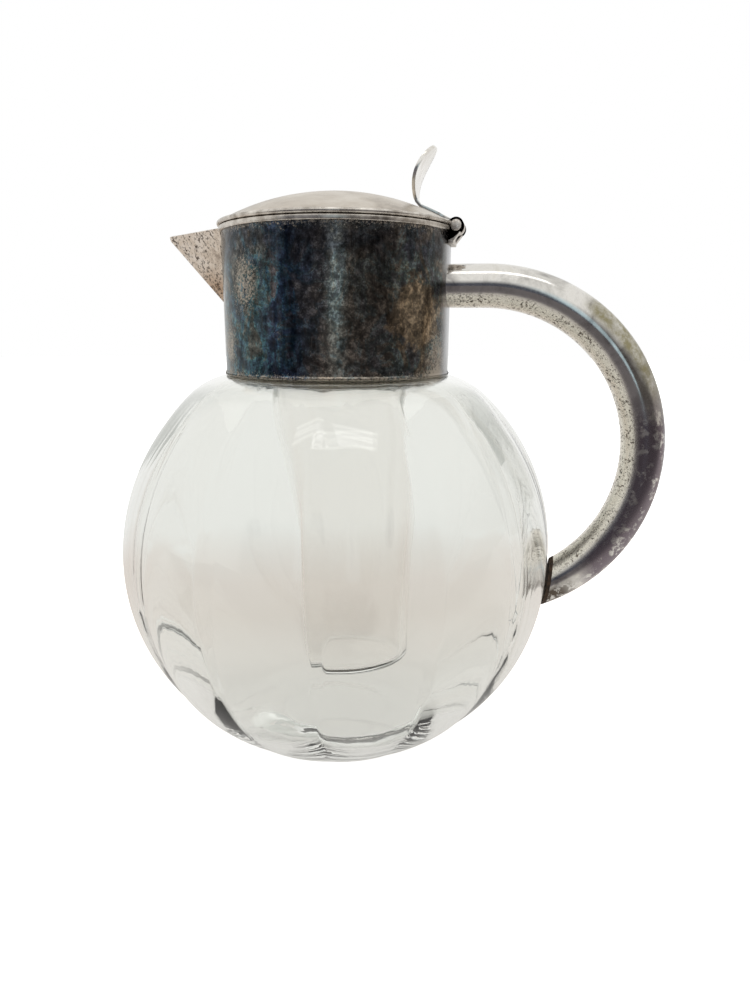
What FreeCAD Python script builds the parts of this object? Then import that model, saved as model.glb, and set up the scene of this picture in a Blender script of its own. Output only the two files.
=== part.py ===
import FreeCAD, Part
import math
import os
import re
import Sketcher

# Lidded glass bowl jug with silver-plated mounts and a hanging glass ice tube.
# Frame: origin at the centre of the glass base, +Z up, +X towards the handle and hinge,
# the spout points along -X. Millimetres.

doc = FreeCAD.newDocument("BowlJug")
sheet = doc.addObject("Spreadsheet::Sheet", "Sizes")

SIZES = [
    # glass bowl
    ("globe_radius", 90, "bowl, from its axis to the crest of a lobe"),
    ("base_radius", 29, "flat foot of the bowl"),
    ("base_edge", 4, "rounding between the foot and the side"),
    ("globe_wall", 3.2, "bowl wall at the belly"),
    ("base_thickness", 9, "glass under the cavity"),
    ("cavity_corner", 16, "rounding inside, above the base"),
    ("cavity_raise", 0.6, "cavity's centre above the bowl's"),
    ("floor_via", -75, "a direction on the rounding of the cavity's floor, degrees"),
    ("shoulder_via", 68, "a direction on the inside of the shoulder, degrees"),
    ("lobe_count", 14, "lobes round the bowl"),
    ("lobe_depth", 1.1, "crease below the crest at the belly"),
    ("lobe_turn", -4.5, "angle of the first crease from the handle"),
    ("shoulder_radius", 33, "curve of the bowl into the neck"),
    ("shoulder_inset", 3.1, "shoulder's crest inside the neck's outside"),
    ("neck_wall", 4, "glass neck"),
    ("neck_rise", 22, "neck above the collar's bottom edge"),
    ("cement_gap", 2.35, "cement between neck and collar"),
    ("cement_drop", 1.2, "cement below the neck's mouth"),
    # collar
    ("collar_radius", 45.25, "collar band, outside"),
    ("collar_wall", 0.9, "collar sheet"),
    ("collar_height", 55.8, "band with its top bead"),
    ("collar_lift", 0.3, "bottom edge above the glass"),
    ("bead_side", 1.3, "straight side of the top bead"),
    ("bead_crown", 0.7, "rise of the bead's rounded top"),
    ("bead_overhang", 0.95, "top bead outside the band"),
    ("bead_inside", 0.3, "top bead inside the band"),
    ("foot_height", 2.6, "wire at the collar's bottom edge"),
    ("foot_flat", 0.35, "wire's straight part"),
    ("foot_bulge", 0.75, "wire's rounded part"),
    ("strainer_radius", 1.6, "hole in the strainer"),
    ("strainer_pitch_up", 4.3, "rows of the strainer"),
    ("strainer_pitch_across", 4.4, "holes in one row"),
    ("strainer_rows", 4, "rows, one more hole in each"),
    ("strainer_start", 5.5, "lowest hole above the spout's bottom"),
    # spout
    ("spout_reach", 25.2, "tip beyond the band"),
    ("spout_depth", 30, "height on the band"),
    ("spout_half", 15, "half width at the band"),
    ("spout_drop", 1, "tip below the root"),
    ("spout_below_top", 0.3, "root below the collar's top"),
    ("spout_wall", 1, "spout sheet"),
    ("tip_half", 0.7, "half width of the tip"),
    ("tip_depth", 1.2, "height of the tip"),
    ("flange_width", 2.4, "flange round the spout's root"),
    ("flange_wall", 0.7, "flange sheet"),
    ("beak_inset", 6, "start of the spout's loft inside the band"),
    ("beak_clear", 4, "cutter above the spout's open top"),
    # handle
    ("tube_radius", 8.3, "handle tube, outside"),
    ("tube_wall", 1, "handle tube sheet"),
    ("root_drop", 21.4, "handle's root below the collar's top"),
    ("tube_inset", 5, "start of the handle's middle line inside the band"),
    ("handle_straight", 14, "straight run from the band"),
    ("handle_bend", 63.5, "bend of the handle's middle line"),
    ("handle_sweep", 190, "turn of the bend before trimming, degrees"),
    ("pad_wall", 1.4, "cork pad between handle and glass"),
    ("end_wall", 1, "plate that closes the handle"),
    # ice insert
    ("seat_drop", 9.3, "seat ring's top below the collar's top"),
    ("seat_wall", 1.4, "seat ring"),
    ("seat_width", 3.5, "seat ring, from the band inwards"),
    ("insert_gap", 0.2, "carrier ring above its seat"),
    ("carrier_gap", 1.1, "carrier ring inside the band"),
    ("carrier_wall", 1, "carrier sheet"),
    ("sleeve_radius", 31.4, "carrier's sleeve, outside"),
    ("sleeve_above", 3.2, "sleeve above the carrier's plate"),
    ("sleeve_below", 7, "sleeve below the carrier's plate"),
    ("vent_radius", 2.5, "air hole in the carrier"),
    ("vent_count", 6, "air holes"),
    ("vent_circle", 37.2, "circle of the air holes"),
    ("gasket_above", 2, "gasket above the carrier's plate"),
    ("ice_length", 175, "ice tube below the carrier's plate"),
    ("ice_straight", 68, "ice tube's straight part below the carrier's plate"),
    ("ice_top", 27.8, "ice tube's straight part, outside"),
    ("ice_foot", 20.8, "ice tube above its rounded foot, outside"),
    ("ice_wall", 2, "ice tube wall"),
    ("ice_base", 3, "ice tube base"),
    ("ice_corner", 4, "rounding of the ice tube's foot"),
    ("ice_lip", 28.2, "ice tube's lip, outside"),
    ("lip_height", 2.6, "ice tube's lip"),
    ("lip_gap", 1.3, "lip above the gasket on the axis"),
    ("ice_lean", 2.4, "lean of the hand-blown ice tube, degrees"),
    ("ice_shift", 1.4, "ice tube off the jug's axis at the carrier, towards the spout"),
    # lid
    ("lid_gap", 0.2, "closed lid above the collar's bead"),
    ("lid_radius", 46.75, "lid with its rim"),
    ("rim_width", 1.75, "rim wire, from the dome outwards"),
    ("rim_height", 1.7, "rim wire"),
    ("rim_flat", 1.2, "rim wire's straight part"),
    ("dome_rise", 11.5, "dome above its rim"),
    ("dome_wall", 0.9, "dome sheet"),
    ("locating_gap", 0.5, "locating ring inside the collar's bead"),
    ("locating_wall", 0.9, "locating ring sheet"),
    ("locating_depth", 2, "locating ring below the lid's seat"),
    # hinge
    ("barrel_inset", 0.55, "near side of the barrel inside the band"),
    ("barrel_radius", 2.9, "hinge barrel"),
    ("barrel_length", 15.5, "both ears and the knuckle between"),
    ("knuckle_length", 6.3, "lid's knuckle"),
    ("knuckle_gap", 0.3, "play at each end of the knuckle"),
    ("pin_radius", 1.5, "hinge pin"),
    ("pin_play", 0.05, "running clearance round the pin"),
    ("pin_head", 0.6, "riveted head's thickness"),
    ("head_radius", 2.1, "riveted head"),
    ("notch_gap", 0.35, "clearance round the barrel"),
    ("bracket_drop", 6.5, "bracket's foot below the pin"),
    ("bracket_wall", 1.6, "bracket's leg"),
    # thumbpiece
    ("plate_wall", 1.2, "strap and thumbpiece sheet"),
    ("thumb_place", 31, "thumbpiece from the jug's axis"),
    ("thumb_height", 21.4, "thumbpiece above the dome"),
    ("thumb_sweep", 7, "tip's sweep towards the handle"),
    ("thumb_bow", 2.6, "bow of the thumbpiece"),
    ("thumb_half", 9.6, "half width of the thumbpiece"),
    ("thumb_foot", 4.6, "half width where it leaves the dome"),
    ("thumb_bend", 2, "bend at the thumbpiece's foot"),
    ("bow_share", 0.6, "place of the bow, as a part of the thumbpiece's height"),
    ("hip_up", 0.2, "leaf's hip, as a part of the height"),
    ("hip_wide", 0.86, "half width at the hip, as a part of the widest"),
    ("leaf_up", 0.55, "leaf's widest place, as a part of the height"),
    ("crown_down", 0.1, "leaf's crown below the tip, as a part of the height"),
    ("crown_wide", 0.7, "half width at the crown, as a part of the widest"),
    ("tip_rise", 0.2, "leaf's outline above the plate's tip"),
    ("strap_sink", 0.1, "strap's end below the top of the barrel"),
    ("cut_room", 5, "how far a cutter reaches past the plate"),
]

for row, (alias, size, note) in enumerate(SIZES, start=1):
    sheet.set(f"A{row}", note)
    sheet.set(f"B{row}", str(size))
    sheet.setAlias(f"B{row}", alias)
doc.recompute()

ALIASES = {alias for alias, size, note in SIZES}


def in_sheet(text):
    # spells out an expression's aliases the way the document wants them
    return re.sub(r"[a-z]\w*", lambda word: "Sizes." + word[0] if word[0] in ALIASES else word[0], text)


def value(text):
    return float(sheet.evalExpression(in_sheet(text)))


def bind(thing, prop, text):
    thing.setExpression(prop, in_sheet(text))


# ---- Places worked out from the sizes ----

globe_centre = "(base_edge + sqrt((globe_radius - base_edge)^2 - base_radius^2))"
neck_radius = "(collar_radius - collar_wall - cement_gap)"
shoulder_r = f"({neck_radius} - shoulder_inset)"
shoulder_z = f"({globe_centre} + sqrt((globe_radius - shoulder_radius)^2 - {shoulder_r}^2))"
shoulder_top = f"({shoulder_z} + shoulder_radius)"
collar_bottom = f"({shoulder_z} + sqrt(shoulder_radius^2 - (collar_radius - {shoulder_r})^2) + collar_lift)"
collar_top = f"({collar_bottom} + collar_height)"
band_top = f"({collar_top} - bead_side - bead_crown)"
band_inside = "(collar_radius - collar_wall)"
neck_top = f"({collar_bottom} + neck_rise)"
bead_outer = "(collar_radius + bead_overhang)"
bead_inner = f"({band_inside} - bead_inside)"

lid_seat = f"({collar_top} + lid_gap)"
dome_radius = "(lid_radius - rim_width)"
dome_edge = f"({lid_seat} + rim_height)"
dome_top = f"({dome_edge} + dome_rise)"
dome_sphere = f"(({dome_radius}^2 + dome_rise^2) / (2 * dome_rise))"

hinge_x = "(collar_radius + barrel_radius - barrel_inset)"
hinge_z = lid_seat
notch_half = "(barrel_length / 2 + pin_head + notch_gap)"
notch_radius = "(barrel_radius + notch_gap)"

seat_top = f"({collar_top} - seat_drop)"
carrier_z = f"({seat_top} + insert_gap)"
carrier_top = f"({carrier_z} + carrier_wall)"

spout_top = f"({collar_top} - spout_below_top)"
spout_bottom = f"({spout_top} - spout_depth)"


def dome_at(radius):
    # height of the dome's outside at a radius
    return f"({dome_top} - {dome_sphere} + sqrt({dome_sphere}^2 - ({radius})^2))"


# ---- Drawing ----

BODY_PLANES = {}


def new_body(label):
    body = doc.addObject("PartDesign::Body", label)
    body.Label = label
    BODY_PLANES[label] = {part.Role: part for part in body.Origin.OriginFeatures}
    return body


def new_sketch(body, plane, offset=None):
    sketch = body.newObject("Sketcher::SketchObject", body.Label + "_sketch")
    sketch.AttachmentSupport = [(BODY_PLANES[body.Label][plane], "")]
    sketch.MapMode = "FlatFace"
    if offset:
        bind(sketch, "AttachmentOffset.Base.z", offset)
    return sketch


def hold_point(sketch, shape, end, across, up):
    # fixes one point of a shape by expressions, measured from the sketch's origin; None leaves it free
    for kind, axis, text in (("DistanceX", -2, across), ("DistanceY", -1, up)):
        if text is None:
            continue
        if text == "0":
            sketch.addConstraint(Sketcher.Constraint("PointOnObject", shape, end, axis))
        else:
            number = sketch.addConstraint(Sketcher.Constraint(kind, -1, 1, shape, end, value(text)))
            bind(sketch, f"Constraints[{number}]", text)


def arc_through(first, via, last):
    # an arc that runs anticlockwise, and whether that turned it round
    turned = (via - first).cross(last - via).z < 0
    circle = Part.Circle(first, via, last)
    centre = circle.Center
    ends = (last, first) if turned else (first, last)
    angles = [math.atan2(end.y - centre.y, end.x - centre.x) for end in ends]
    level = Part.Circle(centre, FreeCAD.Vector(0, 0, 1), circle.Radius)
    return Part.ArcOfCircle(level, *angles), turned


def draw_outline(sketch, outline):
    # outline: corners (across, up), or (across, up, via_across, via_up) where an arc follows
    corners = [FreeCAD.Vector(value(corner[0]), value(corner[1]), 0) for corner in outline]
    ends = []
    for number, corner in enumerate(outline):
        first = corners[number]
        last = corners[(number + 1) % len(corners)]
        if len(corner) == 4:
            via = FreeCAD.Vector(value(corner[2]), value(corner[3]), 0)
            arc, turned = arc_through(first, via, last)
            shape = sketch.addGeometry(arc)
            mark = sketch.addGeometry(Part.Point(via), True)
            hold_point(sketch, mark, 1, corner[2], corner[3])
            sketch.addConstraint(Sketcher.Constraint("PointOnObject", mark, 1, shape))
            ends.append((shape, 2, 1) if turned else (shape, 1, 2))
        else:
            shape = sketch.addGeometry(Part.LineSegment(first, last))
            ends.append((shape, 1, 2))
    for number, (shape, start, finish) in enumerate(ends):
        following = ends[(number + 1) % len(ends)]
        sketch.addConstraint(Sketcher.Constraint("Coincident", shape, finish, following[0], following[1]))
        hold_point(sketch, shape, start, outline[number][0], outline[number][1])


def draw_circle(sketch, across, up, radius):
    place = FreeCAD.Vector(value(across), value(up), 0)
    shape = sketch.addGeometry(Part.Circle(place, FreeCAD.Vector(0, 0, 1), value(radius)))
    hold_point(sketch, shape, 3, across, up)
    number = sketch.addConstraint(Sketcher.Constraint("Radius", shape, value(radius)))
    bind(sketch, f"Constraints[{number}]", radius)
    return shape


def rectangle(left, right, low, high):
    return [(left, low), (right, low), (right, high), (left, high)]


def revolve(body, outline):
    # turns an outline in the XZ plane about Z
    sketch = new_sketch(body, "XZ_Plane")
    draw_outline(sketch, outline)
    feature = body.newObject("PartDesign::Revolution", body.Label + "_turned")
    feature.Profile = sketch
    feature.ReferenceAxis = (sketch, ["V_Axis"])
    feature.Angle = 360
    return feature


def pad(body, sketch, length):
    # a pad to both sides of its sketch
    feature = body.newObject("PartDesign::Pad", body.Label + "_pad")
    feature.Profile = sketch
    feature.SideType = "Symmetric"
    bind(feature, "Length", length)
    return feature


def pocket(body, sketch, length=None, side="Symmetric", reversed_side=False):
    feature = body.newObject("PartDesign::Pocket", body.Label + "_pocket")
    feature.Profile = sketch
    feature.SideType = side
    feature.Reversed = reversed_side
    if length:
        bind(feature, "Length", length)
    else:
        feature.Type = "ThroughAll"
    return feature


def turned_ring(label, outline):
    body = new_body(label)
    revolve(body, outline)
    return body


def primitive(kind, label, **sizes):
    thing = doc.addObject("Part::" + kind, label)
    for prop, text in sizes.items():
        bind(thing, prop, text)
    return thing


def boolean(kind, label, base, tool):
    thing = doc.addObject("Part::" + kind, label)
    if kind in ("Cut", "Common", "Fuse"):
        thing.Base = base
        thing.Tool = tool
    else:
        thing.Shapes = [base, tool]
    return thing


def stand_at(thing, height, across="0"):
    bind(thing, "Placement.Base.x", across)
    bind(thing, "Placement.Base.z", height)


# ---- Glass bowl ----

def lobed_solid():
    # The bowl's outside: one meridian of arcs, scaled round a section of circular lobes.
    radius = value("globe_radius")
    rounding = value("base_edge")
    foot = value("base_radius")
    centre = value(globe_centre)
    crest_r = value(shoulder_r)
    crest_z = value(shoulder_z)
    shoulder = value("shoulder_radius")
    count = int(value("lobe_count"))
    half_lobe = math.pi / count
    low = math.atan2(rounding - centre, foot)
    high = math.atan2(crest_z - centre, crest_r)

    def arc(across, up, size, start, finish):
        points = []
        for angle in (start, (start + finish) / 2, finish):
            points.append(FreeCAD.Vector(across + size * math.cos(angle), up + size * math.sin(angle), 0))
        edge = Part.Arc(*points).toShape()
        return edge.Curve.toBSpline(*edge.ParameterRange)

    meridian = [
        arc(foot, rounding, rounding, -math.pi / 2, low),
        arc(0, centre, radius, low, high),
        arc(crest_r, crest_z, shoulder, high, math.pi / 2),
    ]
    crease = 1 - value("lobe_depth") / radius
    lobe = Part.Arc(
        FreeCAD.Vector(crease * math.cos(half_lobe), -crease * math.sin(half_lobe), 0),
        FreeCAD.Vector(1, 0, 0),
        FreeCAD.Vector(crease * math.cos(half_lobe), crease * math.sin(half_lobe), 0),
    ).toShape()
    lobe = lobe.Curve.toBSpline(*lobe.ParameterRange)

    def lobe_face(curve, turn):
        poles = []
        weights = []
        for across, share in zip(lobe.getPoles(), lobe.getWeights()):
            line = []
            for point in curve.getPoles():
                x = point.x * across.x
                y = point.x * across.y
                line.append(FreeCAD.Vector(
                    x * math.cos(turn) - y * math.sin(turn),
                    x * math.sin(turn) + y * math.cos(turn),
                    point.y))
            poles.append(line)
            weights.append([share * weight for weight in curve.getWeights()])
        surface = Part.BSplineSurface()
        surface.buildFromPolesMultsKnots(
            poles, lobe.getMultiplicities(), curve.getMultiplicities(), lobe.getKnots(), curve.getKnots(),
            False, False, lobe.Degree, curve.Degree, weights)
        return surface

    faces = []
    foot_edges = []
    crown_edges = []
    for number in range(count):
        turn = math.radians(value("lobe_turn")) + (2 * number + 1) * half_lobe
        surfaces = [lobe_face(curve, turn) for curve in meridian]
        faces += [surface.toShape() for surface in surfaces]
        foot_edges.append(surfaces[0].vIso(meridian[0].FirstParameter).toShape())
        crown_edges.append(surfaces[-1].vIso(meridian[-1].LastParameter).toShape())
    faces.append(Part.Face(Part.Wire(foot_edges)))
    faces.append(Part.Face(Part.Wire(crown_edges)))
    shell = Part.makeShell(faces)
    shell.sewShape()
    solid = Part.Solid(shell)
    if solid.Volume < 0:
        solid.reverse()
    return solid


lobes = doc.addObject("Part::Feature", "bowl_lobes")
lobes.Shape = lobed_solid()

neck_foot = f"({shoulder_top} - globe_wall)"
neck = primitive("Cylinder", "bowl_neck", Radius=neck_radius, Height=f"{neck_top} - {neck_foot}")
stand_at(neck, neck_foot)
bowl = boolean("Fuse", "bowl_outside", lobes, neck)

# The cavity is a sphere that runs into a rounded floor below and the inside of the shoulder above.
cavity_radius = "(globe_radius - globe_wall)"
cavity_centre = f"({globe_centre} + cavity_raise)"
floor_z = "(base_thickness + cavity_corner)"
floor_r = f"sqrt(({cavity_radius} - cavity_corner)^2 - ({cavity_centre} - {floor_z})^2)"
inner_shoulder = "(shoulder_radius - globe_wall)"
inner_shoulder_z = f"({shoulder_z} + cavity_raise)"
cavity_top = f"({inner_shoulder_z} + {inner_shoulder})"
mouth = f"({neck_top} + neck_wall)"
throat = f"({neck_radius} - neck_wall)"


def cavity_touch(centre_r, centre_z, size):
    # where the cavity's sphere meets an arc inside it that touches it
    share = f"({cavity_radius} / ({cavity_radius} - {size}))"
    return (f"({centre_r} * {share})", f"({cavity_centre} + ({centre_z} - {cavity_centre}) * {share})")


def on_circle(centre_r, centre_z, size, degrees):
    return (f"({centre_r} + {size} * cos({degrees}))", f"({centre_z} + {size} * sin({degrees}))")


cavity = turned_ring("bowl_cavity", [
    ("0", "base_thickness"),
    (floor_r, "base_thickness") + on_circle(floor_r, floor_z, "cavity_corner", "floor_via"),
    cavity_touch(floor_r, floor_z, "cavity_corner") + (cavity_radius, cavity_centre),
    cavity_touch(shoulder_r, inner_shoulder_z, inner_shoulder)
    + on_circle(shoulder_r, inner_shoulder_z, inner_shoulder, "shoulder_via"),
    (shoulder_r, cavity_top),
    (throat, cavity_top),
    (throat, mouth),
    ("0", mouth),
])
bowl = boolean("Cut", "glass_globe", bowl, cavity)

cement = turned_ring("neck_cement", rectangle(
    neck_radius, band_inside, shoulder_top, f"({neck_top} - cement_drop)"))

# ---- Collar ----

band = new_body("collar_band")
revolve(band, rectangle(band_inside, "collar_radius", collar_bottom, band_top))
strainer = new_sketch(band, "YZ_Plane")
for row in range(int(value("strainer_rows"))):
    up = f"({spout_bottom} + strainer_start + {row} * strainer_pitch_up)"
    for number in range(row + 1):
        step = number - row / 2
        across = "0" if step == 0 else f"({step} * strainer_pitch_across)"
        draw_circle(strainer, across, up, "strainer_radius")
pocket(band, strainer, "2 * collar_radius", "One side")

foot_middle = f"({collar_bottom} + foot_height / 2)"
foot_ring = turned_ring("collar_foot_ring", [
    ("collar_radius", collar_bottom),
    ("(collar_radius + foot_flat)", collar_bottom,
     "(collar_radius + foot_flat + foot_bulge)", foot_middle),
    ("(collar_radius + foot_flat)", f"({collar_bottom} + foot_height)"),
    ("collar_radius", f"({collar_bottom} + foot_height)"),
])

bead_shoulder = f"({band_top} + bead_side)"
bead = new_body("collar_top_bead")
revolve(bead, [
    (bead_inner, band_top),
    (bead_outer, band_top),
    (bead_outer, bead_shoulder, f"(({bead_inner} + {bead_outer}) / 2)", collar_top),
    (bead_inner, bead_shoulder),
])
gate = new_sketch(bead, "YZ_Plane")
draw_outline(gate, rectangle(f"(-{notch_half})", notch_half, f"({band_top} - 1)", f"({collar_top} + 1)"))
pocket(bead, gate, "2 * collar_radius", "One side", True)

seat = turned_ring("insert_seat_ring", rectangle(
    f"({band_inside} - seat_width)", band_inside, f"({seat_top} - seat_wall)", seat_top))

# ---- Spout ----

side_slope = "(spout_half / spout_depth)"
keel_lift = f"(spout_wall / sin(atan({side_slope})))"
root_x = "(collar_radius - beak_inset)"
tip_x = "(collar_radius + spout_reach)"
root_share = f"(({tip_x} - {root_x}) / spout_reach)"


def beak(label, lift, raise_top):
    # a pointed beak that is lofted from a triangle inside the collar to a small one at the tip
    body = new_body(label)
    stations = [
        (root_x, f"(spout_half * {root_share})", spout_top, f"(spout_depth * {root_share})"),
        (tip_x, "tip_half", f"({spout_top} - spout_drop)", "tip_depth"),
    ]
    sketches = []
    for across, half, top, depth in stations:
        sketch = new_sketch(body, "YZ_Plane", f"(-{across})")
        brim = f"({top} + {raise_top})"
        wide = f"({half} * (1 + ({raise_top} - {lift}) / {depth}))"
        draw_outline(sketch, [(f"(-{wide})", brim), ("0", f"({top} - {depth} + {lift})"), (wide, brim)])
        sketches.append(sketch)
    loft = body.newObject("PartDesign::AdditiveLoft", label + "_loft")
    loft.Profile = sketches[0]
    loft.Sections = sketches[1:]
    loft.Ruled = True
    return body


beak_outside = beak("beak_outside", "0", "0")
beak_inside = beak("beak_inside", keel_lift, "beak_clear")
flange_blank = new_body("flange_blank")
flange_sketch = new_sketch(flange_blank, "YZ_Plane", "(-collar_radius)")
flange_half = "(spout_half + flange_width)"
draw_outline(flange_sketch, [
    (f"(-{flange_half})", spout_top),
    ("0", f"({spout_top} - {flange_half} / {side_slope})"),
    (flange_half, spout_top),
])
pad(flange_blank, flange_sketch, "collar_radius")
flange_tube = primitive("Cylinder", "flange_tube", Radius="collar_radius + flange_wall",
                        Height="3 * spout_depth")
stand_at(flange_tube, f"({spout_top} - 2 * spout_depth)")
flange = boolean("Common", "spout_flange", flange_blank, flange_tube)
beak_whole = boolean("Fuse", "beak_whole", beak_outside, flange)
beak_shell = boolean("Cut", "beak_shell", beak_whole, beak_inside)
collar_space = turned_ring("collar_space", [
    ("0", f"({spout_top} - 3 * spout_depth)"),
    ("collar_radius", f"({spout_top} - 3 * spout_depth)"),
    ("collar_radius", band_top),
    (bead_outer, band_top),
    (bead_outer, f"({collar_top} + spout_depth)"),
    ("0", f"({collar_top} + spout_depth)"),
])
spout = boolean("Cut", "spout_beak", beak_shell, collar_space)

# ---- Handle ----

root_z = f"({collar_top} - root_drop)"
bend_x = "(collar_radius + handle_straight)"
bend_z = f"({root_z} - handle_bend)"


def handle_pipe(label, radius, core=None):
    # a pipe along the handle's middle line: a short straight run and one long bend
    body = new_body(label)
    path = new_sketch(body, "XZ_Plane")
    start = "(collar_radius - tube_inset)"
    run = path.addGeometry(Part.LineSegment(
        FreeCAD.Vector(value(start), value(root_z), 0), FreeCAD.Vector(value(bend_x), value(root_z), 0)))
    finish = math.radians(90 - value("handle_sweep"))
    circle = Part.Circle(FreeCAD.Vector(value(bend_x), value(bend_z), 0), FreeCAD.Vector(0, 0, 1),
                         value("handle_bend"))
    bend = path.addGeometry(Part.ArcOfCircle(circle, finish, math.pi / 2))
    hold_point(path, run, 1, start, root_z)
    hold_point(path, run, 2, bend_x, root_z)
    path.addConstraint(Sketcher.Constraint("Coincident", run, 2, bend, 2))
    hold_point(path, bend, 3, bend_x, bend_z)
    hold_point(path, bend, 1, f"({bend_x} + handle_bend * cos(90 - handle_sweep))", None)
    section = new_sketch(body, "YZ_Plane", start)
    draw_circle(section, "0", root_z, radius)
    if core:
        draw_circle(section, "0", root_z, core)
    pipe = body.newObject("PartDesign::AdditivePipe", label + "_pipe")
    pipe.Profile = section
    pipe.Spine = (path, ["Edge1", "Edge2"])
    return body


def bowl_sphere(label, skin):
    sphere = primitive("Sphere", label, Radius=f"globe_radius + {skin}")
    stand_at(sphere, globe_centre)
    return sphere


rod = handle_pipe("handle_rod", "tube_radius")
tube = handle_pipe("handle_bent_tube", "tube_radius", "(tube_radius - tube_wall)")
sphere_glass = bowl_sphere("sphere_glass", "0")
sphere_pad = bowl_sphere("sphere_pad", "pad_wall")
sphere_end = bowl_sphere("sphere_end", "pad_wall + end_wall")
collar_core = primitive("Cylinder", "collar_core", Radius="collar_radius", Height="collar_height")
stand_at(collar_core, collar_bottom)
tube_start = boolean("Cut", "tube_start", tube, collar_core)
handle_tube = boolean("Cut", "handle_tube", tube_start, sphere_end)
end_shell = boolean("Cut", "end_shell", sphere_end, sphere_pad)
handle_end = boolean("Common", "handle_end_plate", rod, end_shell)
pad_shell = boolean("Cut", "pad_shell", sphere_pad, sphere_glass)
handle_pad = boolean("Common", "handle_cork_pad", rod, pad_shell)

# ---- Ice insert ----

carrier = new_body("insert_carrier_ring")
sleeve_bore = "(sleeve_radius - carrier_wall)"
carrier_outer = f"({band_inside} - carrier_gap)"
revolve(carrier, [
    (sleeve_bore, f"({carrier_z} - sleeve_below)"),
    ("sleeve_radius", f"({carrier_z} - sleeve_below)"),
    ("sleeve_radius", carrier_z),
    (carrier_outer, carrier_z),
    (carrier_outer, carrier_top),
    ("sleeve_radius", carrier_top),
    ("sleeve_radius", f"({carrier_top} + sleeve_above)"),
    (sleeve_bore, f"({carrier_top} + sleeve_above)"),
])
vent = new_sketch(carrier, "XY_Plane", f"({carrier_top} + 1)")
draw_circle(vent, "vent_circle", "0", "vent_radius")
vent_pocket = pocket(carrier, vent, "carrier_wall + 2", "One side")
vents = carrier.newObject("PartDesign::PolarPattern", "vents")
vents.Originals = [vent_pocket]
vents.Axis = (vent, ["N_Axis"])
vents.Angle = 360
bind(vents, "Occurrences", "vent_count")
carrier.Tip = vents

# The ice tube is drawn upright about the carrier's centre and then leans as a whole.
gasket_top = "(carrier_wall + gasket_above)"
lip_low = f"({gasket_top} + lip_gap)"
lip_high = f"({lip_low} + lip_height)"
arc_share = "cos(45)"


def lean(thing):
    stand_at(thing, carrier_z, "-ice_shift")
    thing.Placement.Rotation = FreeCAD.Rotation(FreeCAD.Vector(0, 1, 0), -value("ice_lean"))
    bind(thing, "Placement.Rotation.Angle", "-ice_lean")


ice_outside = turned_ring("ice_outside", [
    ("0", "(-ice_length)"),
    ("(ice_foot - ice_corner)", "(-ice_length)",
     f"(ice_foot - ice_corner + ice_corner * {arc_share})",
     f"(-ice_length + ice_corner * (1 - {arc_share}))"),
    ("ice_foot", "(-ice_length + ice_corner)"),
    ("ice_top", "(-ice_straight)"),
    ("ice_top", lip_low),
    ("ice_lip", lip_low, f"(ice_lip + lip_height / 4)", f"({lip_low} + lip_height / 2)"),
    ("ice_lip", lip_high),
    ("0", lip_high),
])
lean(ice_outside)
ice_inner_foot = "(ice_foot - ice_wall)"
ice_inner_corner = "(ice_corner - ice_wall)"
ice_floor = "(-ice_length + ice_base)"
ice_inside = turned_ring("ice_inside", [
    ("0", ice_floor),
    (f"({ice_inner_foot} - {ice_inner_corner})", ice_floor,
     f"({ice_inner_foot} - {ice_inner_corner} * (1 - {arc_share}))",
     f"({ice_floor} + {ice_inner_corner} * (1 - {arc_share}))"),
    (ice_inner_foot, f"({ice_floor} + {ice_inner_corner})"),
    ("(ice_top - ice_wall)", "(-ice_straight)"),
    ("(ice_top - ice_wall)", f"({lip_high} + 1)"),
    ("0", f"({lip_high} + 1)"),
])
lean(ice_inside)
ice_tube = boolean("Cut", "ice_tube", ice_outside, ice_inside)

gasket_blank = primitive("Cylinder", "gasket_blank", Radius=sleeve_bore,
                         Height=f"sleeve_below + {gasket_top}")
stand_at(gasket_blank, f"({carrier_z} - sleeve_below)")
gasket = boolean("Cut", "insert_gasket", gasket_blank, ice_outside)

# ---- Lid ----

rim_start = f"({dome_radius} + rim_flat)"
rim = new_body("lid_rim_wire")
revolve(rim, [
    (dome_radius, lid_seat),
    (rim_start, lid_seat, "lid_radius", f"({lid_seat} + rim_height / 2)"),
    (rim_start, dome_edge),
    (dome_radius, dome_edge),
])
half_dome = f"({dome_radius} / 2)"
dome = new_body("lid_dome")
revolve(dome, [
    ("0", f"({dome_top} - dome_wall)", half_dome, f"({dome_at(half_dome)} - dome_wall)"),
    (dome_radius, f"({dome_edge} - dome_wall)"),
    (dome_radius, dome_edge, half_dome, dome_at(half_dome)),
    ("0", dome_top),
])
locating_outer = f"({bead_inner} - locating_gap)"
locating_inner = f"({locating_outer} - locating_wall)"
locating = new_body("lid_locating_ring")
revolve(locating, [
    (locating_inner, f"({lid_seat} - locating_depth)"),
    (locating_outer, f"({lid_seat} - locating_depth)"),
    (locating_outer, f"({dome_at(locating_outer)} - dome_wall)"),
    (locating_inner, f"({dome_at(locating_inner)} - dome_wall)"),
])


def clear_barrel(body):
    # leaves room for the whole hinge barrel
    sketch = new_sketch(body, "XZ_Plane")
    draw_circle(sketch, hinge_x, hinge_z, notch_radius)
    pocket(body, sketch, f"2 * {notch_half}")


for piece in (rim, dome, locating):
    clear_barrel(piece)

# ---- Hinge ----

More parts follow.
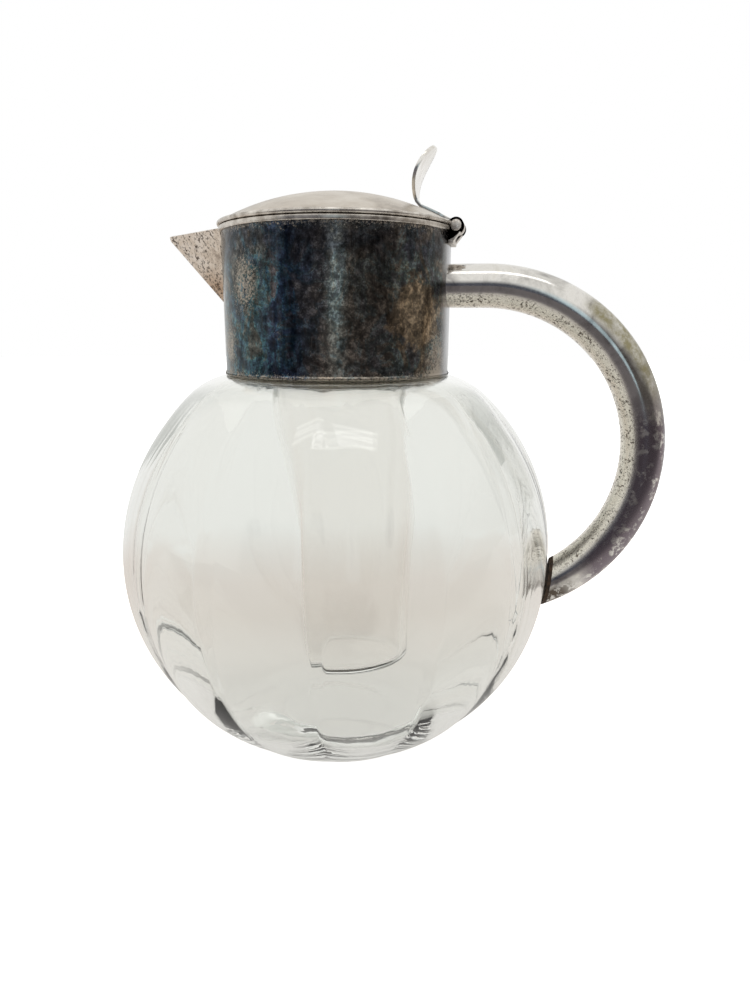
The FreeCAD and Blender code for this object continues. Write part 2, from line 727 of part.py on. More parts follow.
bracket = new_body("hinge_bracket")
bracket_foot = f"({hinge_z} - bracket_drop)"
leg_outside = "(collar_radius + bracket_wall)"
leg_inside = "(collar_radius - collar_wall)"
side_view = new_sketch(bracket, "XZ_Plane")
draw_outline(side_view, [
    (leg_inside, bracket_foot),
    (leg_outside, bracket_foot),
    (leg_outside, f"({hinge_z} - barrel_radius - bracket_wall)",
     f"({hinge_x} + barrel_radius * cos(60))", f"({hinge_z} - barrel_radius * sin(60))"),
    (f"({hinge_x} + barrel_radius)", hinge_z, hinge_x, f"({hinge_z} + barrel_radius)"),
    (f"({hinge_x} - barrel_radius)", hinge_z),
    (leg_inside, f"({hinge_z} - barrel_radius)"),
])
pad(bracket, side_view, "barrel_length")
gap_view = new_sketch(bracket, "XZ_Plane")
draw_circle(gap_view, hinge_x, hinge_z, notch_radius)
pocket(bracket, gap_view, "knuckle_length + 2 * knuckle_gap")
pin_view = new_sketch(bracket, "XZ_Plane")
draw_circle(pin_view, hinge_x, hinge_z, "pin_radius")
pocket(bracket, pin_view, "2 * barrel_length")
collar_view = new_sketch(bracket, "XY_Plane")
draw_circle(collar_view, "0", "0", "collar_radius")
pocket(bracket, collar_view, f"3 * {hinge_z}")

pin = new_body("hinge_pin")
shank = new_sketch(pin, "XZ_Plane")
draw_circle(shank, hinge_x, hinge_z, "pin_radius")
pad(pin, shank, "barrel_length")
for side in (-1, 1):
    head = new_sketch(pin, "XZ_Plane", f"({side} * (barrel_length + pin_head) / 2)")
    draw_circle(head, hinge_x, hinge_z, "head_radius")
    pad(pin, head, "pin_head")

knuckle = new_body("lid_knuckle")
knuckle_view = new_sketch(knuckle, "XZ_Plane")
draw_circle(knuckle_view, hinge_x, hinge_z, "barrel_radius")
draw_circle(knuckle_view, hinge_x, hinge_z, "(pin_radius + pin_play)")
pad(knuckle, knuckle_view, "knuckle_length")

# ---- Strap and thumbpiece, one bent plate ----

strap_end = f"({hinge_x} - {notch_radius})"
strap_middle = f"((thumb_place + {strap_end}) / 2)"
foot_z = dome_at("thumb_place")
heel_x = "(thumb_place + thumb_bend)"
fillet_x = "(thumb_place + plate_wall + thumb_bend)"
tip_z = f"({foot_z} + thumb_height)"
thumb_tip = "(thumb_place + thumb_sweep)"
bow_x = "(thumb_place + thumb_sweep / 2 - thumb_bow)"
bow_z = f"({foot_z} + bow_share * thumb_height)"


def above(place):
    return f"({dome_at(place)} + plate_wall)"


thumb = new_body("lid_strap_thumbpiece")
plate_view = new_sketch(thumb, "XZ_Plane")
draw_outline(plate_view, [
    (f"({hinge_x} - 1)", f"({hinge_z} + 1)"),
    (strap_end, dome_at(strap_end), strap_middle, dome_at(strap_middle)),
    (heel_x, dome_at(heel_x), f"(thumb_place + 0.3 * thumb_bend)", f"({foot_z} + 0.25 * thumb_bend)"),
    ("thumb_place", f"({foot_z} + thumb_bend)", bow_x, bow_z),
    (thumb_tip, tip_z),
    (f"({thumb_tip} + plate_wall)", f"({tip_z} - 0.6 * plate_wall)",
     f"({bow_x} + plate_wall)", f"({bow_z} - 0.3 * plate_wall)"),
    ("(thumb_place + plate_wall)", f"({foot_z} + thumb_bend + plate_wall)",
     f"({fillet_x} - 0.7 * thumb_bend)", f"({above(fillet_x)} + 0.3 * thumb_bend)"),
    (fillet_x, above(fillet_x), strap_middle, above(strap_middle)),
    (strap_end, above(strap_end)),
    (f"({hinge_x} - plate_wall / 3)", f"({hinge_z} + barrel_radius - strap_sink)"),
])
pad(thumb, plate_view, "2 * thumb_half")

strap_level = f"({foot_z} + thumb_bend + plate_wall)"
strap_half = "(knuckle_length / 2)"
margin = "(2 * thumb_half)"
strap_view = new_sketch(thumb, "XY_Plane", strap_level)
before = "(thumb_place - cut_room)"
behind = f"({hinge_x} + cut_room)"
draw_outline(strap_view, rectangle(
    "(thumb_place - 2 * cut_room)", f"({hinge_x} + 2 * cut_room)", f"(-{margin})", margin))
draw_outline(strap_view, [
    (before, "(-thumb_foot)"),
    (fillet_x, "(-thumb_foot)"),
    (strap_end, f"(-{strap_half})"),
    (behind, f"(-{strap_half})"),
    (behind, strap_half),
    (strap_end, strap_half),
    (fillet_x, "thumb_foot"),
    (before, "thumb_foot"),
])
pocket(thumb, strap_view, f"{strap_level} - {hinge_z} + cut_room", "One side")

leaf_view = new_sketch(thumb, "YZ_Plane")
leaf_wide = f"({strap_level} + leaf_up * thumb_height)"
leaf_hip = f"({strap_level} + hip_up * thumb_height)"
leaf_crown = f"({tip_z} - crown_down * thumb_height)"
draw_outline(leaf_view, [
    ("thumb_foot", strap_level, "(hip_wide * thumb_half)", leaf_hip),
    ("thumb_half", leaf_wide, "(crown_wide * thumb_half)", leaf_crown),
    ("0", f"({tip_z} + tip_rise)", "(-crown_wide * thumb_half)", leaf_crown),
    ("(-thumb_half)", leaf_wide, "(-hip_wide * thumb_half)", leaf_hip),
    ("(-thumb_foot)", strap_level),
    (f"(-{margin})", strap_level),
    (f"(-{margin})", f"({tip_z} + cut_room)"),
    (margin, f"({tip_z} + cut_room)"),
    (margin, strap_level),
])
pocket(thumb, leaf_view, "4 * globe_radius")
saddle_view = new_sketch(thumb, "XZ_Plane")
draw_circle(saddle_view, hinge_x, hinge_z, "barrel_radius")
pocket(thumb, saddle_view, f"2 * {margin}")

doc.recompute()

# ---- Checks and files ----

NODES = [
    bowl, cement, band, foot_ring, bead, seat, spout, handle_tube, handle_end, handle_pad,
    bracket, pin, dome, rim, locating, knuckle, thumb, ice_tube, carrier, gasket,
]

for thing in doc.Objects:
    if "Invalid" in thing.State or "Error" in thing.State:
        raise RuntimeError(f"{thing.Label} failed: {thing.State}")
os.makedirs("parts", exist_ok=True)
for node in NODES:
    shape = node.Shape
    if shape.isNull() or not shape.isValid() or not shape.Solids:
        raise RuntimeError(f"{node.Label} has no valid solid")
for node in NODES:
    node.Shape.exportStep(f"parts/{node.Label}.step")
    print(f"{node.Label}: {len(node.Shape.Solids)} solid, {node.Shape.Volume / 1000:.2f} cm3")
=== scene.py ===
import math
import bpy
import bmesh
from mathutils import Matrix, Vector


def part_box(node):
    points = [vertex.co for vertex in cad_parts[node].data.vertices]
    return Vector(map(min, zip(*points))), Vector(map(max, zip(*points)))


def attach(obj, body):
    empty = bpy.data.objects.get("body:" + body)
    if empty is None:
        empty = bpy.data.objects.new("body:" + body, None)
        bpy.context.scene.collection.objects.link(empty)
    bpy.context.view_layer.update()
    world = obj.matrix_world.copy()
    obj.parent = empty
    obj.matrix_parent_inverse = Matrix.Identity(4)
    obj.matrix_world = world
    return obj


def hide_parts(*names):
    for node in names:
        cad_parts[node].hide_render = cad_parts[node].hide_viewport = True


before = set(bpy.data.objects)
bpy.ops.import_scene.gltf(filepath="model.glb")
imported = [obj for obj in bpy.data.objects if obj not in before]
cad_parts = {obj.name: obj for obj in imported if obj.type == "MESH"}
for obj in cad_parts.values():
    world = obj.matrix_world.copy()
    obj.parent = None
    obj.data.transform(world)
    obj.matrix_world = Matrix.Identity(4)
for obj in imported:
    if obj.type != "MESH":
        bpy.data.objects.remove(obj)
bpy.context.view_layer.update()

mm = 0.001
acrossAxis = (0, 1, 0)
upAxis = (0, 0, 1)


# Hand tools: each one does what a user does in edit mode

def startPoint(name, across, up):
    # a mesh of one vertex in the plane y = 0, made from a small plane merged at its centre
    bpy.ops.object.select_all(action="DESELECT")
    bpy.ops.mesh.primitive_plane_add(size=mm)
    bpy.context.object.name = name
    bpy.ops.object.mode_set(mode="EDIT")
    bpy.ops.mesh.select_mode(type="VERT")
    bpy.ops.mesh.select_all(action="SELECT")
    bpy.ops.mesh.merge(type="CENTER")
    bpy.ops.transform.translate(value=(across * mm, 0, up * mm))
    return bpy.context.object


def penPlace():
    # where the selected vertices are, in millimetres across and up
    picked = [v.co for v in bmesh.from_edit_mesh(bpy.context.object.data).verts if v.select]
    middle = sum(picked, Vector()) / len(picked)
    return middle.x / mm, middle.z / mm


def lineTo(across, up, pieces=1):
    fromAcross, fromUp = penPlace()
    step = ((across - fromAcross) * mm / pieces, 0, (up - fromUp) * mm / pieces)
    for count in range(pieces):
        bpy.ops.mesh.extrude_region_move(TRANSFORM_OT_translate={"value": step})


def arcRound(across, up, degrees, steps):
    # anticlockwise is positive, seen with +X to the right and +Z up
    bpy.ops.mesh.spin(steps=steps, angle=math.radians(degrees), center=(across * mm, 0, up * mm),
                      axis=acrossAxis)


def pickAll():
    bpy.ops.mesh.select_all(action="SELECT")


def closeOutline():
    # joins the outline's last point to its first
    pickAll()
    bpy.ops.mesh.remove_doubles(threshold=0.001 * mm)
    work = bmesh.from_edit_mesh(bpy.context.object.data)
    for vert in work.verts:
        vert.select = len(vert.link_edges) == 1
    work.select_flush(True)
    if any(vert.select for vert in work.verts):
        bpy.ops.mesh.edge_face_add()


def latheRound(steps, degrees=360, start=0):
    # turns the outline about the jug's axis
    pickAll()
    if start:
        turnPicked(start, upAxis)
    bpy.ops.mesh.spin(steps=steps, angle=-math.radians(degrees), center=(0, 0, 0), axis=upAxis)
    if degrees < 360:
        pickOpenEnds()
        bpy.ops.mesh.edge_face_add()


def turnPicked(degrees, axis, centre=(0, 0, 0)):
    # without a window transform.rotate has to be told its centre
    letter = {(1, 0, 0): "X", acrossAxis: "Y", upAxis: "Z"}[axis]
    bpy.ops.transform.rotate(value=-math.radians(degrees), orient_axis=letter, center_override=centre)


def pickOpenEnds():
    bpy.ops.mesh.select_all(action="DESELECT")
    bpy.ops.mesh.select_mode(type="EDGE")
    work = bmesh.from_edit_mesh(bpy.context.object.data)
    for edge in work.edges:
        edge.select = edge.is_boundary
    work.select_flush_mode()


def finishMesh():
    pickAll()
    bpy.ops.mesh.remove_doubles(threshold=0.001 * mm)
    bpy.ops.mesh.delete_loose()
    pickAll()
    bpy.ops.mesh.normals_make_consistent(inside=False)
    bpy.ops.object.mode_set(mode="OBJECT")


def changeBy(piece, kind, **settings):
    # adds one modifier with its settings and applies it
    bpy.ops.object.select_all(action="DESELECT")
    piece.select_set(True)
    bpy.context.view_layer.objects.active = piece
    modifier = piece.modifiers.new(kind.title(), kind)
    for name, setting in settings.items():
        setattr(modifier, name, setting)
    bpy.ops.object.modifier_apply(modifier=modifier.name)


def cutAway(piece, tool):
    changeBy(piece, "BOOLEAN", object=tool, operation="DIFFERENCE", solver="EXACT")
    bpy.data.objects.remove(tool)


def crossBar(across, up, radius, length):
    # a round cutter that lies across the jug
    bpy.ops.object.select_all(action="DESELECT")
    bpy.ops.mesh.primitive_cylinder_add(vertices=48, radius=radius * mm, depth=length * mm,
                                        location=(across * mm, 0, up * mm), rotation=(math.pi / 2, 0, 0))
    bpy.ops.object.transform_apply(location=True, rotation=True, scale=True)
    return bpy.context.object


def smoothOver(piece, degrees=32):
    bpy.ops.object.select_all(action="DESELECT")
    piece.select_set(True)
    bpy.context.view_layer.objects.active = piece
    bpy.ops.object.shade_smooth_by_angle(angle=math.radians(degrees))


def settle(piece, finish, body, node):
    # material, body, and the CAD node it stands for
    piece.data.materials.clear()
    piece.data.materials.append(finish)
    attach(piece, body)
    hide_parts(node)
    print("made", piece.name, len(piece.data.polygons), "faces")


# Node tools

def colour(text):
    # an sRGB hex colour as linear RGBA
    parts = [int(text[place:place + 2], 16) / 255 for place in (1, 3, 5)]
    return [part / 12.92 if part <= 0.04045 else ((part + 0.055) / 1.055) ** 2.4 for part in parts] + [1]


def add(tree, kind, inputs={}, stops=None, **settings):
    # one node with its settings; an input takes a value, a hex colour or another node's output
    node = tree.nodes.new("ShaderNode" + kind)
    for name, setting in settings.items():
        setattr(node, name, setting)
    for name, given in inputs.items():
        if isinstance(given, bpy.types.NodeSocket):
            tree.links.new(given, node.inputs[name])
        else:
            node.inputs[name].default_value = colour(given) if isinstance(given, str) else given
    if stops:
        ramp = node.color_ramp
        while len(ramp.elements) < len(stops):
            ramp.elements.new(0.5)
        for element, (place, tone) in zip(ramp.elements, stops):
            element.position = place
            element.color = colour(tone) if isinstance(tone, str) else (tone, tone, tone, 1)
    return node


def newFinish(name):
    finish = bpy.data.materials.new(name)
    finish.use_nodes = True
    finish.node_tree.nodes.clear()
    return finish, finish.node_tree


def blend(tree, share, under, over, how="MIX"):
    return add(tree, "Mix", {0: share, 6: under, 7: over}, data_type="RGBA", blend_type=how).outputs[2]


def endWith(tree, shader):
    add(tree, "OutputMaterial", {"Surface": shader})


def levels(node):
    # a CAD node's lowest and highest level, in millimetres
    lowest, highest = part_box(node)
    return lowest[2] / mm, highest[2] / mm


def grain(length):
    # a texture scale from a feature's size in millimetres
    return 1 / (length * mm)


def objectPlace(tree):
    return add(tree, "TexCoord").outputs["Object"]


def spotAt(tree, place, centre, reach):
    # 1 at a point of the piece and 0 beyond its reach, both in millimetres
    scale = [grain(size) for size in reach]
    shift = [-at * mm * factor for at, factor in zip(centre, scale)]
    moved = add(tree, "Mapping", {"Vector": place, "Location": shift, "Scale": scale})
    return add(tree, "TexGradient", {"Vector": moved.outputs[0]}, gradient_type="SPHERICAL").outputs["Fac"]


def cloud(tree, place, size, detail=4, roughness=0.55, stretch=(1, 1, 1), distortion=0):
    stretched = add(tree, "Mapping", {"Vector": place, "Scale": [1 / part for part in stretch]})
    return add(tree, "TexNoise", {
        "Vector": stretched.outputs[0], "Scale": grain(size), "Detail": detail, "Roughness": roughness,
        "Distortion": distortion}).outputs["Fac"]


def between(tree, amount, low, high, fromValue=0, toValue=1):
    # stretches a range of values and holds it at both ends
    return add(tree, "MapRange", {
        "Value": amount, "From Min": low, "From Max": high,
        "To Min": fromValue, "To Max": toValue}).outputs[0]


def sums(tree, how, first, second=0.5):
    return add(tree, "Math", {0: first, 1: second}, operation=how, use_clamp=how == "ADD").outputs[0]


# Finishes

def blownGlass():
    # clear soda-lime glass, blown in a ribbed mould: bright, slightly grey-green where it is thick, with
    # faint draw lines along the lobes that break up what shows through it
    finish, tree = newFinish("blownSodaGlass")
    place = objectPlace(tree)
    cords = cloud(tree, place, 9, 2, 0.4, (1, 1, 6))
    ripple = cloud(tree, place, 34, 1, 0.3)
    waves = add(tree, "Bump", {"Height": cords, "Strength": 0.25, "Distance": 0.12 * mm}).outputs[0]
    waves = add(tree, "Bump", {
        "Height": ripple, "Strength": 0.3, "Distance": 0.5 * mm, "Normal": waves}).outputs[0]
    glass = add(tree, "BsdfPrincipled", {
        "Base Color": "#FBFCFA", "Roughness": 0.004, "IOR": 1.5, "Transmission Weight": 1.0, "Normal": waves})
    endWith(tree, glass.outputs[0])
    return finish


def drawnGlass():
    # thin-walled clear tube drawn by hand: faint long streaks along its length
    finish, tree = newFinish("drawnTubeGlass")
    place = objectPlace(tree)
    streaks = cloud(tree, place, 6, 2, 0.4, (1, 1, 30))
    waves = add(tree, "Bump", {"Height": streaks, "Strength": 0.1, "Distance": 0.08 * mm}).outputs[0]
    glass = add(tree, "BsdfPrincipled", {
        "Base Color": "#FCFBFA", "Roughness": 0.004, "IOR": 1.5, "Transmission Weight": 1.0, "Normal": waves})
    endWith(tree, glass.outputs[0])
    return finish


collarTarnish = {
    "patch": 12, "streak": 2.4, "speck": 0.8, "pit": 0.4,                 # feature sizes
    "brown": (36, -27, 183), "brownReach": (17, 17, 17),
    # the first pair sets a painted sheen, pale grey along both limbs of the band, by distance from the axis
    "limbSheen": (43.2, 44.7), "dusk": (192, 206),                           # distance from the axis; levels
    # tarnish hues from left to right across the front, with painted reflection in the pale stops about the
    # middle
    "tarnishAndReflectionBands": [(0.0, "#66777A"), (0.14, "#3C5156"), (0.30, "#4A6468"), (0.35, "#3A4258"), (0.44, "#465C7C"),
              (0.50, "#A4A6AA"), (0.56, "#E8D6C2"), (0.70, "#C4C0B8"), (0.86, "#7C7264"), (1.0, "#807A74")],
    "crusts": [((-26, -38, 193), 13), ((-36, -28, 172), 10), ((42, -16, 167), 12), ((-38, 24, 180), 14),
               ((20, 40, 195), 22)],
}


def tarnishedPlate():
    # silver plate over brass, never polished for years: sulphide films run from blue-black through teal
    # and olive to brown, rubbed into fine upright streaks, with pale crusts where the film has lifted;
    # painted reflection adds upright light and dark bands across the front, and painted sheen pales both
    # limbs
    finish, tree = newFinish("tarnishedSilverPlate")
    place = objectPlace(tree)
    patches = cloud(tree, place, collarTarnish["patch"], 8, 0.74, (1, 1, 1.3), 0.7)
    film = add(tree, "ValToRGB", {"Fac": patches}, [
        (0.36, "#2A3040"), (0.44, "#3A4A60"), (0.475, "#44707E"), (0.50, "#668480"), (0.515, "#57504A"),
        (0.58, "#867A6C"), (0.66, "#B0A28E")]).outputs[0]
    # tarnish hues change from left to right across the band, mixed with painted reflection: upright dark
    # bands, and pale ones from the middle to its right
    ragged = cloud(tree, place, 7, 6, 0.7)
    way = between(tree, add(tree, "SeparateXYZ", {0: place}).outputs[0], -46 * mm, 46 * mm)
    way = sums(tree, "ADD", way, sums(tree, "MULTIPLY", sums(tree, "SUBTRACT", ragged, 0.5), 0.16))
    tarnishAndReflectionBands = add(tree, "ValToRGB", {"Fac": way}, collarTarnish["tarnishAndReflectionBands"]).outputs[0]
    film = blend(tree, 0.45, film, tarnishAndReflectionBands)
    # blue-black again along the top
    level = add(tree, "SeparateXYZ", {0: place}).outputs[2]
    duskFrom, duskTo = collarTarnish["dusk"]
    dusk = sums(tree, "ADD", sums(tree, "MULTIPLY", between(tree, level, duskFrom * mm, duskTo * mm), 0.45),
                sums(tree, "SUBTRACT", ragged, 0.5))
    film = blend(tree, between(tree, dusk, 0.2, 0.5, 0, 0.75), film, "#3A404E")
    brown = spotAt(tree, place, collarTarnish["brown"], collarTarnish["brownReach"])
    brown = sums(tree, "ADD", brown, sums(tree, "SUBTRACT", sums(tree, "MULTIPLY", ragged, 1.6), 0.8))
    brown = between(tree, brown, 0.2, 0.36, 0, 0.85)
    film = blend(tree, brown, film, "#A39078")
    shade = add(tree, "ValToRGB", {"Fac": cloud(tree, place, 3.4, 8, 0.85)}, [
        (0.39, "#2C2C2C"), (0.5, "#808080"), (0.60, "#E0E0E0")]).outputs[0]
    film = blend(tree, 0.9, film, shade, "OVERLAY")
    streaks = cloud(tree, place, collarTarnish["streak"], 5, 0.75, (1, 1, 7))
    film = blend(tree, between(tree, streaks, 0.45, 0.8, 0, 0.3), film, "#7E7872")
    # crusts: pale grit in a few places, and along both edges of the band
    low, high = levels("collar_band")
    edges = sums(tree, "ADD", between(tree, level, (low + 4) * mm, low * mm, 0, 0.3),
                 between(tree, level, (high - 4) * mm, high * mm, 0, 0.22))
    crusty = edges
    for centre, reach in collarTarnish["crusts"]:
        near = between(tree, spotAt(tree, place, centre, (reach, reach, reach * 1.3)), 0, 0.7, 0, 0.26)
        crusty = sums(tree, "ADD", crusty, near)
    specks = cloud(tree, place, collarTarnish["speck"], 4, 0.75)
    lifted = sums(tree, "ADD", sums(tree, "MULTIPLY", ragged, 0.25), specks)
    lifted = between(tree, sums(tree, "ADD", lifted, crusty), 0.82, 0.95)
    film = blend(tree, lifted, film, "#A99F92")
    # painted sheen: grey silver along both limbs of the band, round the handle's root and beside the spout
    across = sums(tree, "ABSOLUTE", add(tree, "SeparateXYZ", {0: place}).outputs[0])
    sheenFrom, sheenTo = collarTarnish["limbSheen"]
    limbSheen = sums(tree, "MULTIPLY", between(tree, across, sheenFrom * mm, sheenTo * mm),
                  between(tree, ragged, 0.25, 0.5, 0.6, 1))
    film = blend(tree, limbSheen, film, "#9C9C9E")
    rough = between(tree, sums(tree, "ADD", streaks, lifted), 0.3, 1.2, 0.12, 0.5)
    pits = cloud(tree, place, collarTarnish["pit"], 3, 0.7)
    relief = sums(tree, "ADD", sums(tree, "MULTIPLY", pits, 0.4), sums(tree, "MULTIPLY", lifted, 0.6))
    bump = add(tree, "Bump", {"Height": relief, "Strength": 0.3, "Distance": 0.05 * mm}).outputs[0]
    metal = add(tree, "BsdfPrincipled", {
        "Base Color": film, "Metallic": 1.0, "Roughness": rough, "Normal": bump})
    endWith(tree, metal.outputs[0])
    return finish


lidHaze = {"dim": (-44, -12, 216), "reach": (34, 44, 30)}                 # darker towards the spout


def satinPlate():
    # silver plate dulled by handling: warm grey with small scratches every way
    finish, tree = newFinish("satinSilverPlate")
    place = objectPlace(tree)
    haze = cloud(tree, place, 17, 5, 0.6, distortion=0.4)
    tone = add(tree, "ValToRGB", {"Fac": haze}, [
        (0.30, "#A1978B"), (0.44, "#C6BCAF"), (0.62, "#D8D0C5")]).outputs[0]
    dim = between(tree, spotAt(tree, place, lidHaze["dim"], lidHaze["reach"]), 0.05, 0.7, 0, 0.75)
    dim = sums(tree, "MULTIPLY", dim, between(tree, haze, 0.3, 0.6, 0.5, 1))
    tone = blend(tree, dim, tone, "#7A756E")
    scratch = cloud(tree, place, 1.1, 6, 0.8, (7, 1, 1))
    rough = between(tree, scratch, 0.3, 0.7, 0.24, 0.42)
    bump = add(tree, "Bump", {"Height": scratch, "Strength": 0.2, "Distance": 0.03 * mm}).outputs[0]
    metal = add(tree, "BsdfPrincipled", {
        "Base Color": tone, "Metallic": 1.0, "Roughness": rough, "Normal": bump})
    endWith(tree, metal.outputs[0])
    return finish


handleWear = {
    "bendAcross": 59.25, "bendUp": 130.2, "bend": 63.5,                   # middle line of the tube's bend
    "pit": 0.9, "brass": (113, 0, 172), "dark": (122, 0, 108), "flake": (80, 0, 62),
}


def wornPlate():
    # silver plate on brass tube: bright where hands polish it, brassy where they have worn it through,
    # and pocked on the inside of the bend where they don't reach
    finish, tree = newFinish("wornSilverPlate")
    place = objectPlace(tree)
    axes = add(tree, "SeparateXYZ", {0: place}).outputs
    past = sums(tree, "MAXIMUM", sums(tree, "SUBTRACT", axes[0], handleWear["bendAcross"] * mm), 0.0)
    above = sums(tree, "SUBTRACT", axes[2], handleWear["bendUp"] * mm)
    reach = add(tree, "VectorMath", {0: add(tree, "CombineXYZ", {0: past, 1: above}).outputs[0]},
                operation="LENGTH").outputs["Value"]
    outward = sums(tree, "SUBTRACT", reach, handleWear["bend"] * mm)      # towards the outside of the bend
    haze = cloud(tree, place, 13, 6, 0.65, distortion=0.5)
    tone = add(tree, "ValToRGB", {"Fac": haze}, [
        (0.30, "#8E8B8A"), (0.42, "#C9C6C1"), (0.56, "#E6E3DE"), (0.75, "#D9D5CC")]).outputs[0]
    ragged = cloud(tree, place, 5, 6, 0.7)
    # the unpolished inside of the bend
    inside = between(tree, outward, -2.2 * mm, -4.6 * mm)
    tone = blend(tree, sums(tree, "MULTIPLY", inside, 0.8), tone, "#F2EBE0")
    pits = cloud(tree, place, handleWear["pit"], 4, 0.75)
    pitted = sums(tree, "ADD", pits, sums(tree, "MULTIPLY", ragged, 0.45))
    pitted = sums(tree, "MULTIPLY", between(tree, pitted, 0.76, 0.84), inside)
    tone = blend(tree, pitted, tone, "#5B5148")
    # worn to brass along the crest
    crest = between(tree, outward, 1.5 * mm, 4 * mm)
    brass = between(tree, spotAt(tree, place, handleWear["brass"], (24, 30, 30)), 0.05, 0.3)
    brass = sums(tree, "MULTIPLY", sums(tree, "MULTIPLY", crest, brass), between(tree, ragged, 0.3, 0.62))
    tone = blend(tree, brass, tone, "#8F886C")
    # purple-black sulphide low on the outside, and flakes near the end
    dark = between(tree, spotAt(tree, place, handleWear["dark"], (32, 30, 52)), 0.05, 0.3)
    dark = sums(tree, "MULTIPLY", dark, sums(tree, "MULTIPLY", between(tree, outward, -4 * mm, -2 * mm),
                                             between(tree, ragged, 0.38, 0.47)))
    tone = blend(tree, dark, tone, "#857B82")
    end = between(tree, spotAt(tree, place, handleWear["flake"], (30, 30, 24)), 0.0, 0.3)
    flakes = sums(tree, "MULTIPLY", between(tree, ragged, 0.47, 0.5), end)
    flakes = sums(tree, "MULTIPLY", flakes, between(tree, outward, 0, 2 * mm))
    tone = blend(tree, flakes, tone, "#5E554C")
    scratch = cloud(tree, place, 0.8, 5, 0.8)
    rough = between(tree, scratch, 0.3, 0.7, 0.07, 0.18)
    rough = sums(tree, "ADD", rough, sums(tree, "MULTIPLY", sums(tree, "ADD", inside, dark), 0.16))
    relief = sums(tree, "SUBTRACT", sums(tree, "MULTIPLY", scratch, 0.1), sums(tree, "ADD", pitted, flakes))
    bump = add(tree, "Bump", {"Height": relief, "Strength": 0.3, "Distance": 0.06 * mm}).outputs[0]
    metal = add(tree, "BsdfPrincipled", {
        "Base Color": tone, "Metallic": 1.0, "Roughness": rough, "Normal": bump})
    endWith(tree, metal.outputs[0])
    return finish


spoutWear = {"pock": 1.2, "rust": (-50, 0, 190), "rustReach": (16, 16, 13)}


def pittedPlate():
    # silver plate that drink has eaten through: pale and pocked, rusty brown low on the keel
    finish, tree = newFinish("pittedSilverPlate")
    place = objectPlace(tree)
    haze = cloud(tree, place, 6, 6, 0.7)
    tone = add(tree, "ValToRGB", {"Fac": haze}, [
        (0.34, "#A89C90"), (0.46, "#DACEC0"), (0.6, "#EAE1D7"), (0.75, "#D2C4B4")]).outputs[0]
    rust = between(tree, spotAt(tree, place, spoutWear["rust"], spoutWear["rustReach"]), 0, 0.6, 0, 0.8)
    rust = sums(tree, "MULTIPLY", rust, between(tree, haze, 0.35, 0.6, 0.3, 1))
    tone = blend(tree, rust, tone, "#A9835C")
    pocks = cloud(tree, place, spoutWear["pock"], 5, 0.75)
    deep = sums(tree, "ADD", pocks, sums(tree, "MULTIPLY", haze, 0.35))
    deep = between(tree, sums(tree, "ADD", deep, sums(tree, "MULTIPLY", rust, 0.07)), 0.715, 0.78)
    tone = blend(tree, deep, tone, "#55483C")
    rough = between(tree, haze, 0.3, 0.7, 0.22, 0.42)
    bump = add(tree, "Bump", {"Height": sums(tree, "SUBTRACT", 1.0, deep), "Strength": 0.4,
                              "Distance": 0.08 * mm}).outputs[0]
    metal = add(tree, "BsdfPrincipled", {
        "Base Color": tone, "Metallic": 0.95, "Roughness": rough, "Normal": bump})
    endWith(tree, metal.outputs[0])
    return finish


def plainMetal(name, light, dark, smooth, size):
    # a machined or drawn metal part: one tone with faint tool marks
    finish, tree = newFinish(name)
    place = objectPlace(tree)
    haze = cloud(tree, place, size, 4, 0.6)
    tone = blend(tree, between(tree, haze, 0.35, 0.65), dark, light)
    marks = cloud(tree, place, 0.5, 4, 0.7)
    bump = add(tree, "Bump", {"Height": marks, "Strength": 0.2, "Distance": 0.03 * mm}).outputs[0]
    metal = add(tree, "BsdfPrincipled", {
        "Base Color": tone, "Metallic": 1.0, "Normal": bump,
        "Roughness": between(tree, haze, 0.3, 0.7, smooth, smooth + 0.15)})
    endWith(tree, metal.outputs[0])
    return finish


def dullSolid(name, light, dark, size, rough, depth):
    # plaster, cork or rubber: a matt body with its own grain
    finish, tree = newFinish(name)
    place = objectPlace(tree)
    lumps = cloud(tree, place, size, 5, 0.6)
    tone = blend(tree, between(tree, lumps, 0.35, 0.65), dark, light)
    bump = add(tree, "Bump", {"Height": lumps, "Strength": 0.5, "Distance": depth * mm}).outputs[0]
    solid = add(tree, "BsdfPrincipled", {"Base Color": tone, "Roughness": rough, "Normal": bump})
    endWith(tree, solid.outputs[0])
    return finish


finishes = {
    "bowl": blownGlass(),
    "tube": drawnGlass(),
    "collar": tarnishedPlate(),
    "lid": satinPlate(),
    "handle": wornPlate(),
    "spout": pittedPlate(),
    "wire": plainMetal("silverPlatedWire", "#E6E0D8", "#A39B92", 0.2, 5),          # drawn: an even gloss
    "thumb": plainMetal("thumbPolishedPlate", "#F4F2EE", "#CFC9C0", 0.14, 7),      # rubbed bright by use
    "hinge": plainMetal("fingeredHingePlate", "#F8F4EE", "#B0A69C", 0.42, 2.2),    # handled: dull, smudged
    "inner": plainMetal("nickelSilverSheet", "#B8B09C", "#8C8472", 0.3, 8),        # rolled: yellowish grey
    "plaster": dullSolid("castPlaster", "#D8D2C4", "#B9B09E", 3, 0.85, 0.3),       # poured wet: chalky
    "cork": dullSolid("pressedCork", "#54402E", "#2E241C", 1.6, 0.9, 0.3),         # granules, dark with age
    "rubber": dullSolid("mouldedRubber", "#4A423C", "#342E2A", 2, 0.7, 0.05),      # aged, dry
}
print("finishes ready")


# Glass bowl

